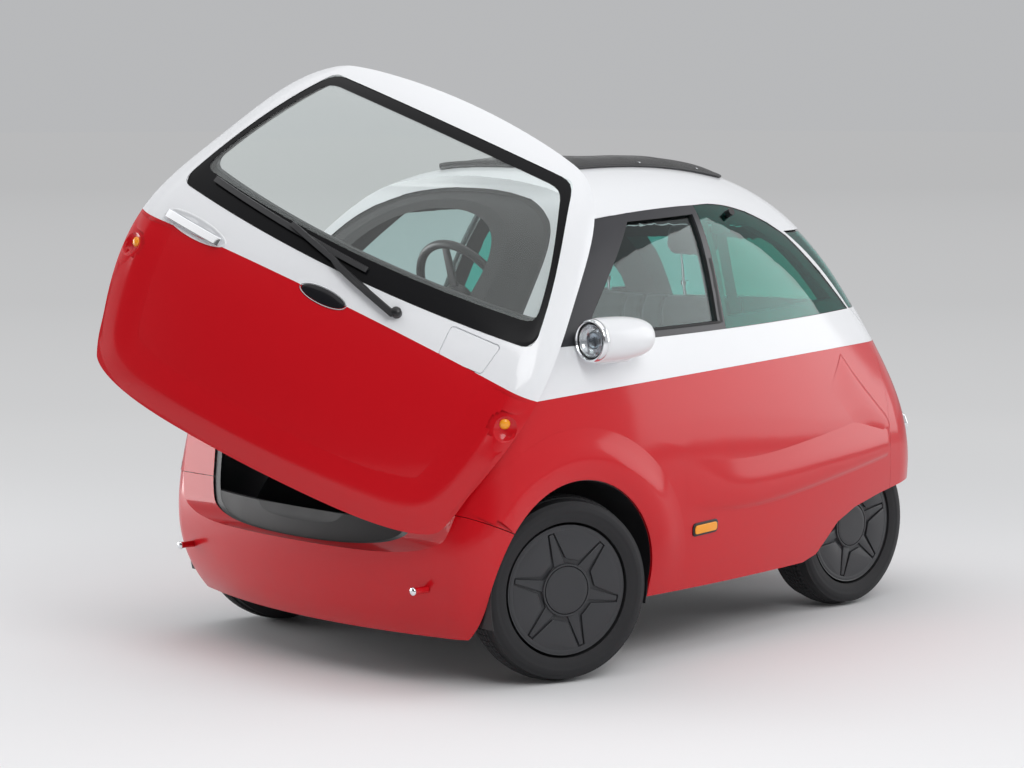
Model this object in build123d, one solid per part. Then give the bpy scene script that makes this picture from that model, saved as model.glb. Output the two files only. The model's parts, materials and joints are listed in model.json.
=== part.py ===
from build123d import *
import math
import os

# A front-door electric microcar.  Millimetres, +Z up, the nose towards -Y, the car's left side +X.
# Points of the body's lines are given on a drawing of the sizes below and scaled to the
# driving sizes, so the whole body follows them.
DRAWN_LENGTH = 2435.0
DRAWN_WIDTH = 1456.0
DRAWN_HEIGHT = 1459.0

# driving dimensions
LENGTH = 2435.0
WIDTH = 1456.0
HEIGHT = 1459.0

WALL = 34.0            # body wall, skin and lining
DOOR_SKIN = 24.0       # outer skins of the door
DOOR_DEPTH = 38.0      # whole door
PANEL_GAP = 6.0        # gap round the door and the hatch
SEAM = 0.3             # between pieces that are bonded or rest on one another
GLASS = 5.0
GLASS_SINK = 3.0       # glass below the body's surface
SCREEN_SINK = 2.0
LINER = 10.0           # cabin tub's own wall

TYRE_RADIUS = 265.0
TYRE_WIDTH = 145.0
RIM_RADIUS = 184.0
ARCH_RADIUS = 311.0
WELL_WALL = 9.0

STEER_AT_REST = 15.8   # towards the car's right
DOOR_ANGLE = 33.1      # opening at rest


def X(v):
    return v * WIDTH / DRAWN_WIDTH


def Y(v):
    return v * LENGTH / DRAWN_LENGTH


def Z(v):
    return v * HEIGHT / DRAWN_HEIGHT


def YZ(*points):
    return [(Y(y), Z(z)) for y, z in points]


# wheel places
FRONT_Y = Y(-730)
REAR_Y = Y(752)
KINGPIN_X = X(606)
WHEEL_OFFSET = 83.0    # kingpin to the cover's plane
REAR_COVER_X = X(478)
COVER_SINK = 10.0      # cover's plane inside the tyre's outer wall

# body sections: height, nose, front corner x and y, half width amidships,
# tail corner x and y, tail, front and tail corner radii
MID_Y = -150
SECTIONS = [
    (150, -1150, 628, -1045, 660, 450, 985, 1115, 110, 250),
    (300, -1213, 690, -1095, 690, 470, 1080, 1195, 130, 300),
    (450, -1213, 712, -1090, 704, 480, 1095, 1215, 140, 300),
    (650, -1165, 705, -1055, 700, 475, 1035, 1180, 140, 300),
    (840, -1085, 678, -1000, 676, 452, 905, 1105, 130, 300),
    (1000, -990, 628, -885, 628, 415, 800, 1005, 120, 280),
    (1150, -868, 566, -745, 570, 372, 690, 890, 110, 250),
    (1280, -738, 500, -610, 502, 320, 550, 745, 100, 210),
    (1370, -600, 405, -480, 415, 260, 400, 570, 90, 170),
    (1423, -440, 285, -350, 300, 190, 250, 385, 70, 120),
    (1446, -255, 150, -200, 165, 105, 100, 185, 45, 70),
]


def section(row, inset, drop):
    z, nose, fx, fy, mx, tx, ty, tail, front_r, tail_r = row
    nose, fy, mid = Y(nose) + inset, Y(fy) + inset, Y(MID_Y)
    ty, tail = Y(ty) - inset, Y(tail) - inset
    fx, mx, tx = X(fx) - inset, X(mx) - inset, X(tx) - inset
    with BuildSketch(Plane.XY.offset(Z(z) - drop)) as outline:
        with BuildLine():
            ThreePointArc((-fx, fy), (0, nose), (fx, fy))
            ThreePointArc((fx, fy), (mx, mid), (tx, ty))
            ThreePointArc((tx, ty), (0, tail), (-tx, ty))
            ThreePointArc((-tx, ty), (-mx, mid), (-fx, fy))
        make_face()
        front = [v for v in outline.vertices() if v.Y < mid]
        fillet(front, max(front_r - inset, 20))
        rear = [v for v in outline.vertices() if abs(v.Y - ty) < 1 and abs(abs(v.X) - tx) < 1]
        fillet(rear, max(tail_r - inset, 30))
    return outline.sketch.face()


BODIES = {}
os.makedirs("parts", exist_ok=True)


def body(inset):
    """The closed body shape, each section moved in along the body's own lean."""
    if inset not in BODIES:
        faces = []
        for i, row in enumerate(SECTIONS):
            below, above = SECTIONS[max(i - 1, 0)], SECTIONS[min(i + 1, len(SECTIONS) - 1)]
            lean = max(math.atan2(X(below[4] - above[4]), Z(above[0] - below[0])), 0)
            faces.append(section(row, inset * math.cos(lean), inset * math.sin(lean)))
        BODIES[inset] = loft(faces)
    return BODIES[inset]


def shell(outer, inner):
    return body(outer) - body(inner)


BIG = 4000.0


def side_prism(face, x0=-BIG / 2, x1=BIG / 2):
    """A side-view outline, y and z, pushed across the car."""
    return extrude(Plane.YZ.offset(x0) * face, x1 - x0)


def front_prism(face, y0=-BIG / 2, y1=BIG / 2):
    """A front-view outline, x and z, pushed along the car."""
    return extrude(Plane.XZ.offset(-y1) * face, y1 - y0)


def plan_prism(face, z0, z1):
    return extrude(Plane.XY.offset(z0) * face, z1 - z0)


def block(x0, x1, y0, y1, z0, z1):
    return Pos((x0 + x1) / 2, (y0 + y1) / 2, (z0 + z1) / 2) * Box(x1 - x0, y1 - y0, z1 - z0)


def cyl_x(r, x0, x1, y, z):
    return Pos((x0 + x1) / 2, y, z) * Rot(0, 90, 0) * Cylinder(r, x1 - x0)


def cyl_y(r, y0, y1, x, z):
    return Pos(x, (y0 + y1) / 2, z) * Rot(90, 0, 0) * Cylinder(r, y1 - y0)


def rod(a, b, r):
    """A round bar from a to b."""
    a, b = Vector(*a), Vector(*b)
    plane = Plane(origin=a, z_dir=b - a)
    return extrude(plane * Circle(r), (b - a).length)


def polygon(points):
    return make_face(Polyline(*points, close=True))


def both(piece):
    """The piece and its mirror image on the other side of the car."""
    return piece + mirror(piece, Plane.YZ)


# ---- outlines -------------------------------------------------------------------------------
def door_side(grow):
    """Everything in front of the door's edge, in side view."""
    top, knee, low, base = YZ((-500, 1360), (-860, 980), (-1112, 520), (-1145, 388))
    roof_z, nose_y = 1.2 * HEIGHT, -0.8 * LENGTH
    run = (Vector(*knee) - Vector(*top)).normalized()
    with BuildSketch() as face:
        with BuildLine():
            Polyline((nose_y, roof_z), (top[0], roof_z), top, knee)
            arc = TangentArc(knee, low, tangent=run)
            Polyline(low, base, (nose_y, base[1]), (nose_y, roof_z))
        make_face()
        corner = [v for v in face.vertices() if abs(v.X - base[0]) < 1 and abs(v.Y - base[1]) < 1]
        fillet(corner, Z(75))
        bend = [v for v in face.vertices() if abs(v.X - top[0]) < 1 and abs(v.Y - top[1]) < 1]
        fillet(bend, Z(60))
    return offset(face.sketch, amount=grow, kind=Kind.INTERSECTION) if grow else face.sketch


def below_belt(grow=0.0):
    """Side view below the two colours' line along the body."""
    ends = YZ((-1300, 775), (-200, 841), (1300, 848))
    a, m, b = [(y, z + grow) for y, z in ends]
    with BuildSketch() as face:
        with BuildLine():
            ThreePointArc(a, m, b)
            Polyline(b, (b[0], -100), (a[0], -100), a)
        make_face()
    return face.sketch


def below_door_belt(grow=0.0):
    """Front view below the two colours' line across the door."""
    side, middle = (X(720), Z(838) + grow), (0, Z(882) + grow)
    with BuildSketch() as face:
        with BuildLine():
            ThreePointArc((-side[0], side[1]), middle, side)
            Polyline(side, (side[0], 0), (-side[0], 0), (-side[0], side[1]))
        make_face()
    return face.sketch


def screen(grow):
    """Windscreen outline in front view."""
    low, top = (X(585), Z(960)), (X(402), Z(1338))
    bulge = (X(505), Z(1165))
    with BuildSketch() as face:
        with BuildLine():
            ThreePointArc((-low[0], low[1]), (0, Z(950)), low)
            ThreePointArc(low, bulge, top)
            ThreePointArc(top, (0, Z(1358)), (-top[0], top[1]))
            ThreePointArc((-top[0], top[1]), (-bulge[0], bulge[1]), (-low[0], low[1]))
        make_face()
        fillet([v for v in face.vertices() if v.Y < Z(1100)], Z(28))
        fillet([v for v in face.vertices() if v.Y > Z(1300)], Z(40))
    return offset(face.sketch, amount=grow, kind=Kind.INTERSECTION) if grow else face.sketch


def clear_screen():
    """The part of the windscreen inside its black border."""
    low, top = (X(548), Z(1016)), (X(388), Z(1316))
    with BuildSketch() as face:
        with BuildLine():
            ThreePointArc((-low[0], low[1]), (0, Z(1006)), low)
            ThreePointArc(low, (X(478), Z(1180)), top)
            ThreePointArc(top, (0, Z(1334)), (-top[0], top[1]))
            ThreePointArc((-top[0], top[1]), (-X(478), Z(1180)), (-low[0], low[1]))
        make_face()
        fillet(face.vertices(), Z(25))
    return face.sketch


def side_window(grow=0.0):
    """The whole dark band of side windows, in side view."""
    a, b, c, d, e = YZ((-835, 946), (762, 968), (505, 1212), (24, 1320), (-545, 1282))
    bc, cd, de = YZ((652, 1082), (290, 1296), (-270, 1309))
    with BuildSketch() as face:
        with BuildLine():
            Line(a, b)
            ThreePointArc(b, bc, c)
            ThreePointArc(c, cd, d)
            ThreePointArc(d, de, e)
            Line(e, a)
        make_face()
    return offset(face.sketch, amount=grow, kind=Kind.INTERSECTION) if grow else face.sketch


def sliding_pane(grow=0.0):
    face = polygon(YZ((-655, 974), (-62, 980), (-13, 1294), (-333, 1281)))
    return offset(face, amount=grow, kind=Kind.INTERSECTION) if grow else face


def hatch(grow):
    """Hatch outline in rear view."""
    points = [(385, 1222), (436, 972), (430, 850), (370, 620)]
    half = [(X(x), Z(z)) for x, z in points]
    face = polygon(half + [(-x, z) for x, z in reversed(half)])
    face = fillet([v for v in face.vertices() if v.Y < Z(700)], Z(50))
    return offset(face, amount=grow, kind=Kind.INTERSECTION) if grow else face


def roof_opening(grow=0.0):
    """Plan of the folding roof."""
    front, rear = (X(280), Y(-385)), (X(228), Y(415))
    face = polygon([(-front[0], front[1]), front, rear, (-rear[0], rear[1])])
    face = fillet(face.vertices(), 40)
    return offset(face, amount=grow, kind=Kind.INTERSECTION) if grow else face


def tail_cut():
    """Below the body's lower edge at the tail, in side view."""
    points = YZ((350, -100), (350, 205), (425, 222), (535, 312), (640, 347), (800, 371),
                (1000, 390), (1500, 400), (1500, -100))
    return polygon(points)


# ---- shared solids --------------------------------------------------------------------------
BELT = side_prism(below_belt())
DOOR_ROOM = side_prism(door_side(PANEL_GAP / 2))
DOOR_SIDE = side_prism(door_side(-PANEL_GAP / 2))
HATCH_ROOM = front_prism(hatch(PANEL_GAP / 2), Y(250), BIG / 2)
HATCH_SIDE = front_prism(hatch(-PANEL_GAP / 2), Y(250), BIG / 2)
WINDOW_BAND = side_prism(side_window())
TAIL_CUT = side_prism(tail_cut())
WELL_INNER_X = X(405)
SILL_Z = Z(205)
ARCH_Y = FRONT_Y - 4.0
TUNNEL_Z = TYRE_RADIUS + 2.0      # centre of the front arches

ARCHES = both(cyl_x(ARCH_RADIUS, WELL_INNER_X, BIG / 2, ARCH_Y, TUNNEL_Z)
              + block(WELL_INNER_X, BIG / 2, ARCH_Y - ARCH_RADIUS, ARCH_Y + ARCH_RADIUS,
                      -100, TUNNEL_Z))
BUMPER_SPLIT = side_prism(polygon(YZ((-1400, 590), (-1100, 502), (-985, 452), (-700, 452),
                                     (-700, -100), (-1400, -100))))
BUMPER_ROOM = side_prism(polygon(YZ((-1400, 592), (-1100, 504), (-983, 454), (-698, 454),
                                    (-698, -100), (-1400, -100))))
SILL_CUT = block(-BIG / 2, BIG / 2, FRONT_Y, BIG / 2, -100, SILL_Z)

wall = shell(0, WALL) - DOOR_ROOM - HATCH_ROOM - TAIL_CUT - ARCHES
lower = wall & BELT
PARTS = {}
REAR_SKIN = 12.0       # the wall is thinned to this beside the rear wheels
rear_wells = both(cyl_x(TYRE_RADIUS + 25, REAR_COVER_X - 200, REAR_COVER_X + 30, REAR_Y, TYRE_RADIUS))
lower = lower - (rear_wells & body(REAR_SKIN))
PARTS["front_bumper"] = lower & BUMPER_SPLIT
sides = lower - BUMPER_ROOM - SILL_CUT
TAIL_SPLIT_Y = Y(880)
tail_zone = block(-BIG / 2, BIG / 2, TAIL_SPLIT_Y, BIG / 2, -100, HEIGHT)
PARTS["side_panels"] = sides - block(-BIG / 2, BIG / 2, TAIL_SPLIT_Y - 1, BIG / 2, -100, HEIGHT)
PARTS["rear_panel"] = sides & tail_zone
roof = wall - side_prism(below_belt(SEAM)) - WINDOW_BAND
PARTS["roof_shell"] = roof - plan_prism(roof_opening(-45), Z(1250), Z(1600))

# ---- cabin tub ------------------------------------------------------------------------------
TUB_OUT = WALL + SEAM
FLOOR = 22.0
TRUNK_Z = Z(585)
BULKHEAD_Y = Y(430)
TUB_TOP = Z(800)
tub_height = block(-BIG / 2, BIG / 2, -BIG / 2, BIG / 2, SILL_Z, TUB_TOP)
liner = (shell(TUB_OUT, TUB_OUT + LINER) & tub_height)
inside = body(TUB_OUT)
floor = inside & block(-BIG / 2, BIG / 2, -BIG / 2, BULKHEAD_Y, SILL_Z, SILL_Z + FLOOR)
bulkhead = inside & block(-BIG / 2, BIG / 2, BULKHEAD_Y - LINER, BULKHEAD_Y, SILL_Z, TRUNK_Z)
trunk = inside & block(-BIG / 2, BIG / 2, BULKHEAD_Y - LINER, BIG / 2, TRUNK_Z - LINER, TRUNK_Z)
well_r = ARCH_RADIUS + WELL_WALL
wells = both(cyl_x(well_r, WELL_INNER_X - WELL_WALL, BIG / 2, ARCH_Y, TUNNEL_Z)
             + block(WELL_INNER_X - WELL_WALL, BIG / 2, ARCH_Y - well_r, ARCH_Y + well_r,
                     SILL_Z, TUNNEL_Z))
wells = (wells & inside & tub_height) - ARCHES
behind = block(-BIG / 2, BIG / 2, BULKHEAD_Y, BIG / 2, 0, TRUNK_Z - LINER)
door_inner = side_prism(door_side(8))
tub = (liner - behind - HATCH_ROOM - ARCHES - TAIL_CUT) + floor + bulkhead + trunk + wells
PARTS["cabin_tub"] = tub - door_inner - ARCHES - HATCH_ROOM

# ---- door seal: a ring on the wall's inner face and a lip behind the door --------------------
SEAL_LIP = 30.0
SEAL = 14.0
seal_band = side_prism(door_side(34)) - side_prism(door_side(-SEAL_LIP))
above_tub = block(-BIG / 2, BIG / 2, -BIG / 2, BIG / 2, TUB_TOP + SEAM, BIG)
seal_foot = side_prism(door_side(34)) - side_prism(door_side(PANEL_GAP))
seal_flange = shell(TUB_OUT, TUB_OUT + LINER + SEAL) & seal_foot & above_tub
seal_flange = seal_flange + (shell(TUB_OUT + LINER + SEAM, TUB_OUT + LINER + SEAL) & seal_band)
SEAL_SIDE_X = X(596)   # between these heights the seal keeps to the side walls
SEAL_LOW, SEAL_HIGH = Z(468), Z(1000)
open_front = block(-SEAL_SIDE_X, SEAL_SIDE_X, -BIG, Y(-800), SEAL_LOW, SEAL_HIGH)
PARTS["door_seal"] = seal_flange - ARCHES - open_front

# ---- side windows ---------------------------------------------------------------------------
frame_zone = side_prism(side_window(-SEAM))
pane_hole = side_prism(sliding_pane())
quarter_zone = side_prism(polygon(YZ((-38, 900), (900, 900), (900, 1400), (27, 1400)))) & frame_zone
frames = shell(1.0, WALL) & frame_zone
quarter_glass = shell(GLASS_SINK - 2, GLASS_SINK - 2 + GLASS) & quarter_zone
side_cut = DOOR_ROOM + HATCH_ROOM
QUARTER_RIM = 30.0
quarter_see = side_prism(offset(polygon(YZ((-38, 960), (742, 975), (500, 1190), (300, 1275),
                                            (22, 1302))), amount=-QUARTER_RIM,
                                kind=Kind.INTERSECTION))
PARTS["window_frames"] = frames - pane_hole - quarter_see - side_cut - (
    shell(0, GLASS_SINK - 2 + GLASS + SEAM) & quarter_zone)
SLIDE_SINK = 12.0
sliding_glass = shell(SLIDE_SINK, SLIDE_SINK + GLASS) & side_prism(sliding_pane(-SEAM))
PARTS["side_glass"] = (quarter_glass - side_cut) + sliding_glass

# ---- folding roof ---------------------------------------------------------------------------
ROOF_FABRIC = 13.0
PARTS["fabric_roof"] = shell(-ROOF_FABRIC, -SEAM) & plan_prism(roof_opening(), Z(1300), Z(1600))

# ---- hatch ----------------------------------------------------------------------------------
hatch_wall = shell(0, WALL) & HATCH_SIDE
glass_low = Z(968)
hatch_top = block(-BIG / 2, BIG / 2, 0, BIG / 2, glass_low + SEAM, 2 * HEIGHT)
PARTS["hatch_glass"] = (shell(GLASS_SINK, GLASS_SINK + GLASS) & HATCH_SIDE) & hatch_top
hatch_low = hatch_wall & block(-BIG / 2, BIG / 2, 0, BIG / 2, 0, glass_low)
rim = hatch_wall & hatch_top
rim = rim - front_prism(hatch(-PANEL_GAP / 2 - 38), Y(250), BIG / 2) - shell(0, GLASS_SINK + GLASS + SEAM)
PARTS["hatch_frame"] = rim
PARTS["hatch_lower"] = hatch_low & BELT
PARTS["hatch_belt"] = hatch_low - side_prism(below_belt(SEAM))

# ---- front door, built closed ---------------------------------------------------------------
HINGE = (X(645), Y(-731), Z(800))
HINGE_AXIS = Axis(HINGE, (0, 1, 1))


def opened(piece):
    return piece.rotate(HINGE_AXIS, DOOR_ANGLE)


door_skin = shell(0, DOOR_SKIN) & DOOR_SIDE
door_red = front_prism(below_door_belt(), -BIG / 2, 0)
screen_hole = front_prism(screen(0), -BIG / 2, 0)
PARTS["door_lower"] = opened(door_skin & door_red)
PARTS["door_upper"] = opened(door_skin - front_prism(below_door_belt(SEAM), -BIG / 2, 0) - screen_hole)
liner_zone = side_prism(door_side(-PANEL_GAP / 2 - 10))
border_zone = front_prism(screen(-SEAM), -BIG / 2, 0) & liner_zone
clear_zone = front_prism(clear_screen(), -BIG / 2, 0)
screen_back = SCREEN_SINK + GLASS
PARTS["screen_border"] = opened((shell(screen_back + SEAM, DOOR_SKIN) & border_zone) - clear_zone)
PARTS["windscreen"] = opened(shell(SCREEN_SINK, screen_back) & border_zone)
PARTS["door_liner"] = opened((shell(DOOR_SKIN + SEAM, DOOR_DEPTH) & liner_zone) - clear_zone)



# ---- pieces that lie on the body's surface ---------------------------------------------------
def on_front(face, height, sink=SEAM):
    """A flat outline in front view, laid on the body's nose as a pad."""
    return shell(-height, -sink) & front_prism(face, -BIG / 2, 0)


def on_tail(face, height, sink=SEAM):
    return shell(-height, -sink) & front_prism(face, 0, BIG / 2)


def on_sides(face, height, sink=SEAM):
    return shell(-height, -sink) & side_prism(face)


def at(x, z, face, turn=0.0):
    return Pos(x, z) * Rot(0, 0, turn) * face


HANDLE_FROM, HANDLE_TO = (X(-566), Z(883)), (X(-344), Z(880))
HANDLE_HEIGHT = 34.0
PARTS["door_handle"] = opened(on_front(
    at((HANDLE_FROM[0] + HANDLE_TO[0]) / 2, (HANDLE_FROM[1] + HANDLE_TO[1]) / 2,
       SlotOverall(HANDLE_TO[0] - HANDLE_FROM[0], HANDLE_HEIGHT)), 6.0))
BADGE = (150.0, 42.0)
PARTS["door_badge"] = opened(on_front(at(0, Z(880), Ellipse(BADGE[0] / 2, BADGE[1] / 2)), 2.5))

# wiper: pivot, arm and blade follow the glass
WIPER_PIVOT, WIPER_TIP = (X(211), Z(918)), (X(-190), Z(1008))
BLADE_FROM, BLADE_TO = (X(-490), Z(1010)), (X(78), Z(985))
WIPER_ARM, WIPER_BLADE, PIVOT_R = 12.0, 11.0, 14.0


def strip(a, b, width):
    """A straight bar in a flat outline from a to b."""
    run = math.hypot(b[0] - a[0], b[1] - a[1])
    turn = math.degrees(math.atan2(b[1] - a[1], b[0] - a[0]))
    return at((a[0] + b[0]) / 2, (a[1] + b[1]) / 2, SlotOverall(run + width, width), turn)


blade = on_front(strip(BLADE_FROM, BLADE_TO, WIPER_BLADE), 16.0, 2.0)
arm = on_front(strip(WIPER_PIVOT, WIPER_TIP, WIPER_ARM), 28.0, 15.0)
pivot = on_front(at(*WIPER_PIVOT, Circle(PIVOT_R)), 30.0)
PARTS["wiper"] = opened(blade + arm + pivot)

LAMP_X, LAMP_Z = X(612), Z(769)
DISH_R, DISH_SPHERE = 34.0, 60.0
LAMP_R = 14.0


def surface_y(x, z):
    """Where a line along the car at x and z meets the nose."""
    line = body(0) & rod((x, -LENGTH, z), (x, 0, z), 0.5)
    return line.bounding_box().min.Y


lamp_y = surface_y(LAMP_X, LAMP_Z)
lamp_out = Vector(math.sin(math.radians(38)), -math.cos(math.radians(38)), 0.12).normalized()
dish_at = Vector(LAMP_X, lamp_y, LAMP_Z) + lamp_out * math.sqrt(DISH_SPHERE ** 2 - DISH_R ** 2)
dishes = both(Pos(*dish_at) * Sphere(DISH_SPHERE))
PARTS["door_lower"] = PARTS["door_lower"] - opened(dishes)
lamp_foot = dish_at - lamp_out * (DISH_SPHERE - 2.2)
lamp_tip = dish_at - lamp_out * (DISH_SPHERE - 16.0)
PARTS["door_lamps"] = opened(both(rod(lamp_foot, lamp_tip, LAMP_R)))

# charging flap: a groove round a rounded square
FLAP = [(X(359), Z(946)), (X(508), Z(944)), (X(500), Z(863)), (X(368), Z(862))]
FLAP_GROOVE = 3.0
flap_face = fillet(polygon(FLAP).vertices(), 12)
groove = flap_face - offset(flap_face, amount=-FLAP_GROOVE, kind=Kind.INTERSECTION)
PARTS["door_upper"] = PARTS["door_upper"] - opened(shell(-2, 4) & front_prism(groove, -BIG / 2, 0))

# hinge of the front door: a pin on the tilted axis, an arm that reaches round the pillar
PIN_DOWN = 190.0       # from the hinge's datum down its axis
PIN_R, PIN_RUN = 9.0, 0.05
LUG_R, LUG = 17.0, 24.0
ARM_LUG = 52.0
LUG_GAP = 0.5
along = Vector(0, 1, 1).normalized()
pin_mid = Vector(*HINGE) - along * PIN_DOWN
pin_half = ARM_LUG / 2 + LUG_GAP + LUG
pin = rod(pin_mid - along * pin_half, pin_mid + along * pin_half, PIN_R)
lug_high = rod(pin_mid + along * (ARM_LUG / 2 + LUG_GAP), pin_mid + along * pin_half, LUG_R)
lug_low = rod(pin_mid - along * pin_half, pin_mid - along * (ARM_LUG / 2 + LUG_GAP), LUG_R)
inner_wall = body(TUB_OUT + LINER + SEAM)
PLATE = 8.0
door_plate = (shell(TUB_OUT + LINER + SEAM, TUB_OUT + LINER + SEAM + PLATE)
         & block(0, BIG, pin_mid.Y - 70, pin_mid.Y + 70, pin_mid.Z - 75, pin_mid.Z + 75))
arm_room = ARM_LUG / 2 + LUG_GAP
door_plate = door_plate - rod(pin_mid - along * arm_room, pin_mid + along * arm_room, LUG_R + 6)
web_low = rod(pin_mid - along * (pin_half - 10), pin_mid - along * (pin_half - 10) + Vector(60, 0, 0), 9)
web_high = rod(pin_mid + along * (pin_half - 10), pin_mid + along * (pin_half - 10) + Vector(60, 0, 0), 9)
webs = (web_low + web_high) & inner_wall
door_bracket = pin + lug_high + lug_low + door_plate + webs

arm_lug = (rod(pin_mid - along * ARM_LUG / 2, pin_mid + along * ARM_LUG / 2, LUG_R)
           - rod(pin_mid - along * ARM_LUG, pin_mid + along * ARM_LUG, PIN_R + PIN_RUN))
ARM_R = 12.0
NECK = [pin_mid] + [Vector(X(x), Y(y), Z(z)) for x, y, z in
                    ((560, -868, 668), (475, -895, 755), (446, -955, 795))]
gooseneck = Part()
for start, end in zip(NECK, NECK[1:]):
    gooseneck = gooseneck + rod(start, end, ARM_R) + Pos(*end) * Sphere(ARM_R)
gooseneck = gooseneck - rod(pin_mid - along * 60, pin_mid + along * 60, LUG_R - 3)
door_inside = body(DOOR_DEPTH + SEAM)
foot = rod(NECK[-1], NECK[-1] - Vector(0, 160, 0), ARM_R) & door_inside
pad = shell(DOOR_DEPTH + SEAM, DOOR_DEPTH + SEAM + 6) & front_prism(
    at(NECK[-1].X, NECK[-1].Z, RectangleRounded(90, 110, 12)), -BIG / 2, 0)
PARTS["door_hinge_arm"] = opened(arm_lug + gooseneck + foot + pad)

# hatch hinges: two on the outside of the hatch's top edge
HATCH_PIN_Y, HATCH_PIN_Z = Y(818), Z(1239)
HATCH_HINGE_X = X(70)
KNUCKLE_R, KNUCKLE_HALF = 10.0, 13.5
HATCH_LUG, HATCH_PIN_R = 14.0, 4.0
LEAF_HEIGHT, LEAF_R = 5.0, 6.0
lug_from = HATCH_HINGE_X + KNUCKLE_HALF + LUG_GAP
leaf_half = lug_from + HATCH_LUG - HATCH_HINGE_X


def leaf(z0, z1, sink):
    """A pad on the tail between two heights."""
    face = at(HATCH_HINGE_X, (z0 + z1) / 2, Rectangle(2 * leaf_half, z1 - z0))
    return on_tail(face, LEAF_HEIGHT, sink)


def leaf_web(x, z):
    """A bar from the hinge pin to the pad."""
    foot_y = tail_y(x, z) + LEAF_HEIGHT / 2
    bar = rod((x, HATCH_PIN_Y, HATCH_PIN_Z), (x, foot_y, z), LEAF_R)
    return bar - body(-SEAM)


def tail_y(x, z):
    """Where a line along the car at x and z meets the tail."""
    line = body(0) & rod((x, 0, z), (x, LENGTH, z), 0.5)
    return line.bounding_box().max.Y


BODY_LEAF, HATCH_LEAF = (Z(1236), Z(1270)), (Z(1176), Z(1213))
hatch_pin = cyl_x(HATCH_PIN_R, HATCH_HINGE_X - leaf_half, HATCH_HINGE_X + leaf_half,
                  HATCH_PIN_Y, HATCH_PIN_Z)
hatch_brackets = leaf(*BODY_LEAF, SEAM) + hatch_pin
for side in (-1, 1):
    mid = HATCH_HINGE_X + side * (leaf_half - HATCH_LUG / 2)
    lug = cyl_x(KNUCKLE_R, mid - HATCH_LUG / 2, mid + HATCH_LUG / 2, HATCH_PIN_Y, HATCH_PIN_Z)
    hatch_brackets = hatch_brackets + lug + leaf_web(mid, sum(BODY_LEAF) / 2)
knuckle_hole = cyl_x(HATCH_PIN_R + PIN_RUN, 0, 2 * HATCH_HINGE_X, HATCH_PIN_Y, HATCH_PIN_Z)
hatch_knuckle = cyl_x(KNUCKLE_R, HATCH_HINGE_X - KNUCKLE_HALF, HATCH_HINGE_X + KNUCKLE_HALF,
                      HATCH_PIN_Y, HATCH_PIN_Z)
hatch_hinge = leaf(*HATCH_LEAF, SEAM - GLASS_SINK) + hatch_knuckle
hatch_hinge = hatch_hinge + leaf_web(HATCH_HINGE_X, sum(HATCH_LEAF) / 2)
PARTS["hatch_hinges"] = both(hatch_hinge - knuckle_hole)
PARTS["hinge_brackets"] = door_bracket + both(hatch_brackets)

# ---- lamps, pods and trim on the body --------------------------------------------------------
POD_X, POD_Z = X(725), Z(966)
POD_FRONT, POD_REAR = Y(-692), Y(-478)
POD_R, POD_TAIL_R = 64.0, 50.0
NECK_R = 48.0
with BuildSketch(Plane.XY) as pod_half:
    with BuildLine():
        Polyline((0, POD_FRONT), (POD_R - 4, POD_FRONT), (POD_R, POD_FRONT + 20))
        ThreePointArc((POD_R, POD_FRONT + 20), (POD_R - 3, (POD_FRONT + POD_REAR) / 2 + 30),
                      (POD_TAIL_R, POD_REAR))
        Polyline((POD_TAIL_R, POD_REAR), (0, POD_REAR), (0, POD_FRONT))
    make_face()
pod = Pos(POD_X, 0, POD_Z) * revolve(pod_half.sketch, Axis.Y)
neck = cyl_x(NECK_R, X(600), POD_X, (POD_FRONT + POD_REAR) / 2, POD_Z - 6)
pods = both((pod + neck) - body(-SEAM))
RING_R, RING_IN, RING_DEEP = 62.0, 52.0, 13.0
ring = cyl_y(RING_R, POD_FRONT - RING_DEEP, POD_FRONT, POD_X, POD_Z) - cyl_y(
    RING_IN, POD_FRONT - BIG, POD_FRONT, POD_X, POD_Z)
PARTS["headlamp_pods"] = pods
ring = fillet(ring.edges().filter_by(GeomType.CIRCLE), 3.0)
bowl = cyl_y(RING_IN + 2, POD_FRONT - 3, POD_FRONT, POD_X, POD_Z)
PARTS["headlamp_rims"] = both(ring + bowl)
LENS_SPHERE = 130.0
lens_back = POD_FRONT - 3 - SEAM
lens = (cyl_y(RING_IN - 8, lens_back - 60, lens_back, POD_X, POD_Z)
        & Pos(POD_X, lens_back - 18 + LENS_SPHERE, POD_Z) * Sphere(LENS_SPHERE))
PARTS["headlamp_lenses"] = both(lens)
MIRROR_R = POD_TAIL_R - 5
PARTS["mirror_glasses"] = both(cyl_y(MIRROR_R, POD_REAR, POD_REAR + 3, POD_X, POD_Z))

STUD_X, STUD_TIP, STUD_Z = X(534), Y(-1198), Z(296)
STUD_R, STUD_CAP_R = 9.0, 12.0
stem = cyl_y(STUD_R, STUD_TIP + 10, Y(-1000), STUD_X, STUD_Z) - body(-SEAM)
cap = Pos(STUD_X, STUD_TIP + STUD_CAP_R, STUD_Z) * Sphere(STUD_CAP_R)
PARTS["bumper_studs"] = both(stem + cap)

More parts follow.
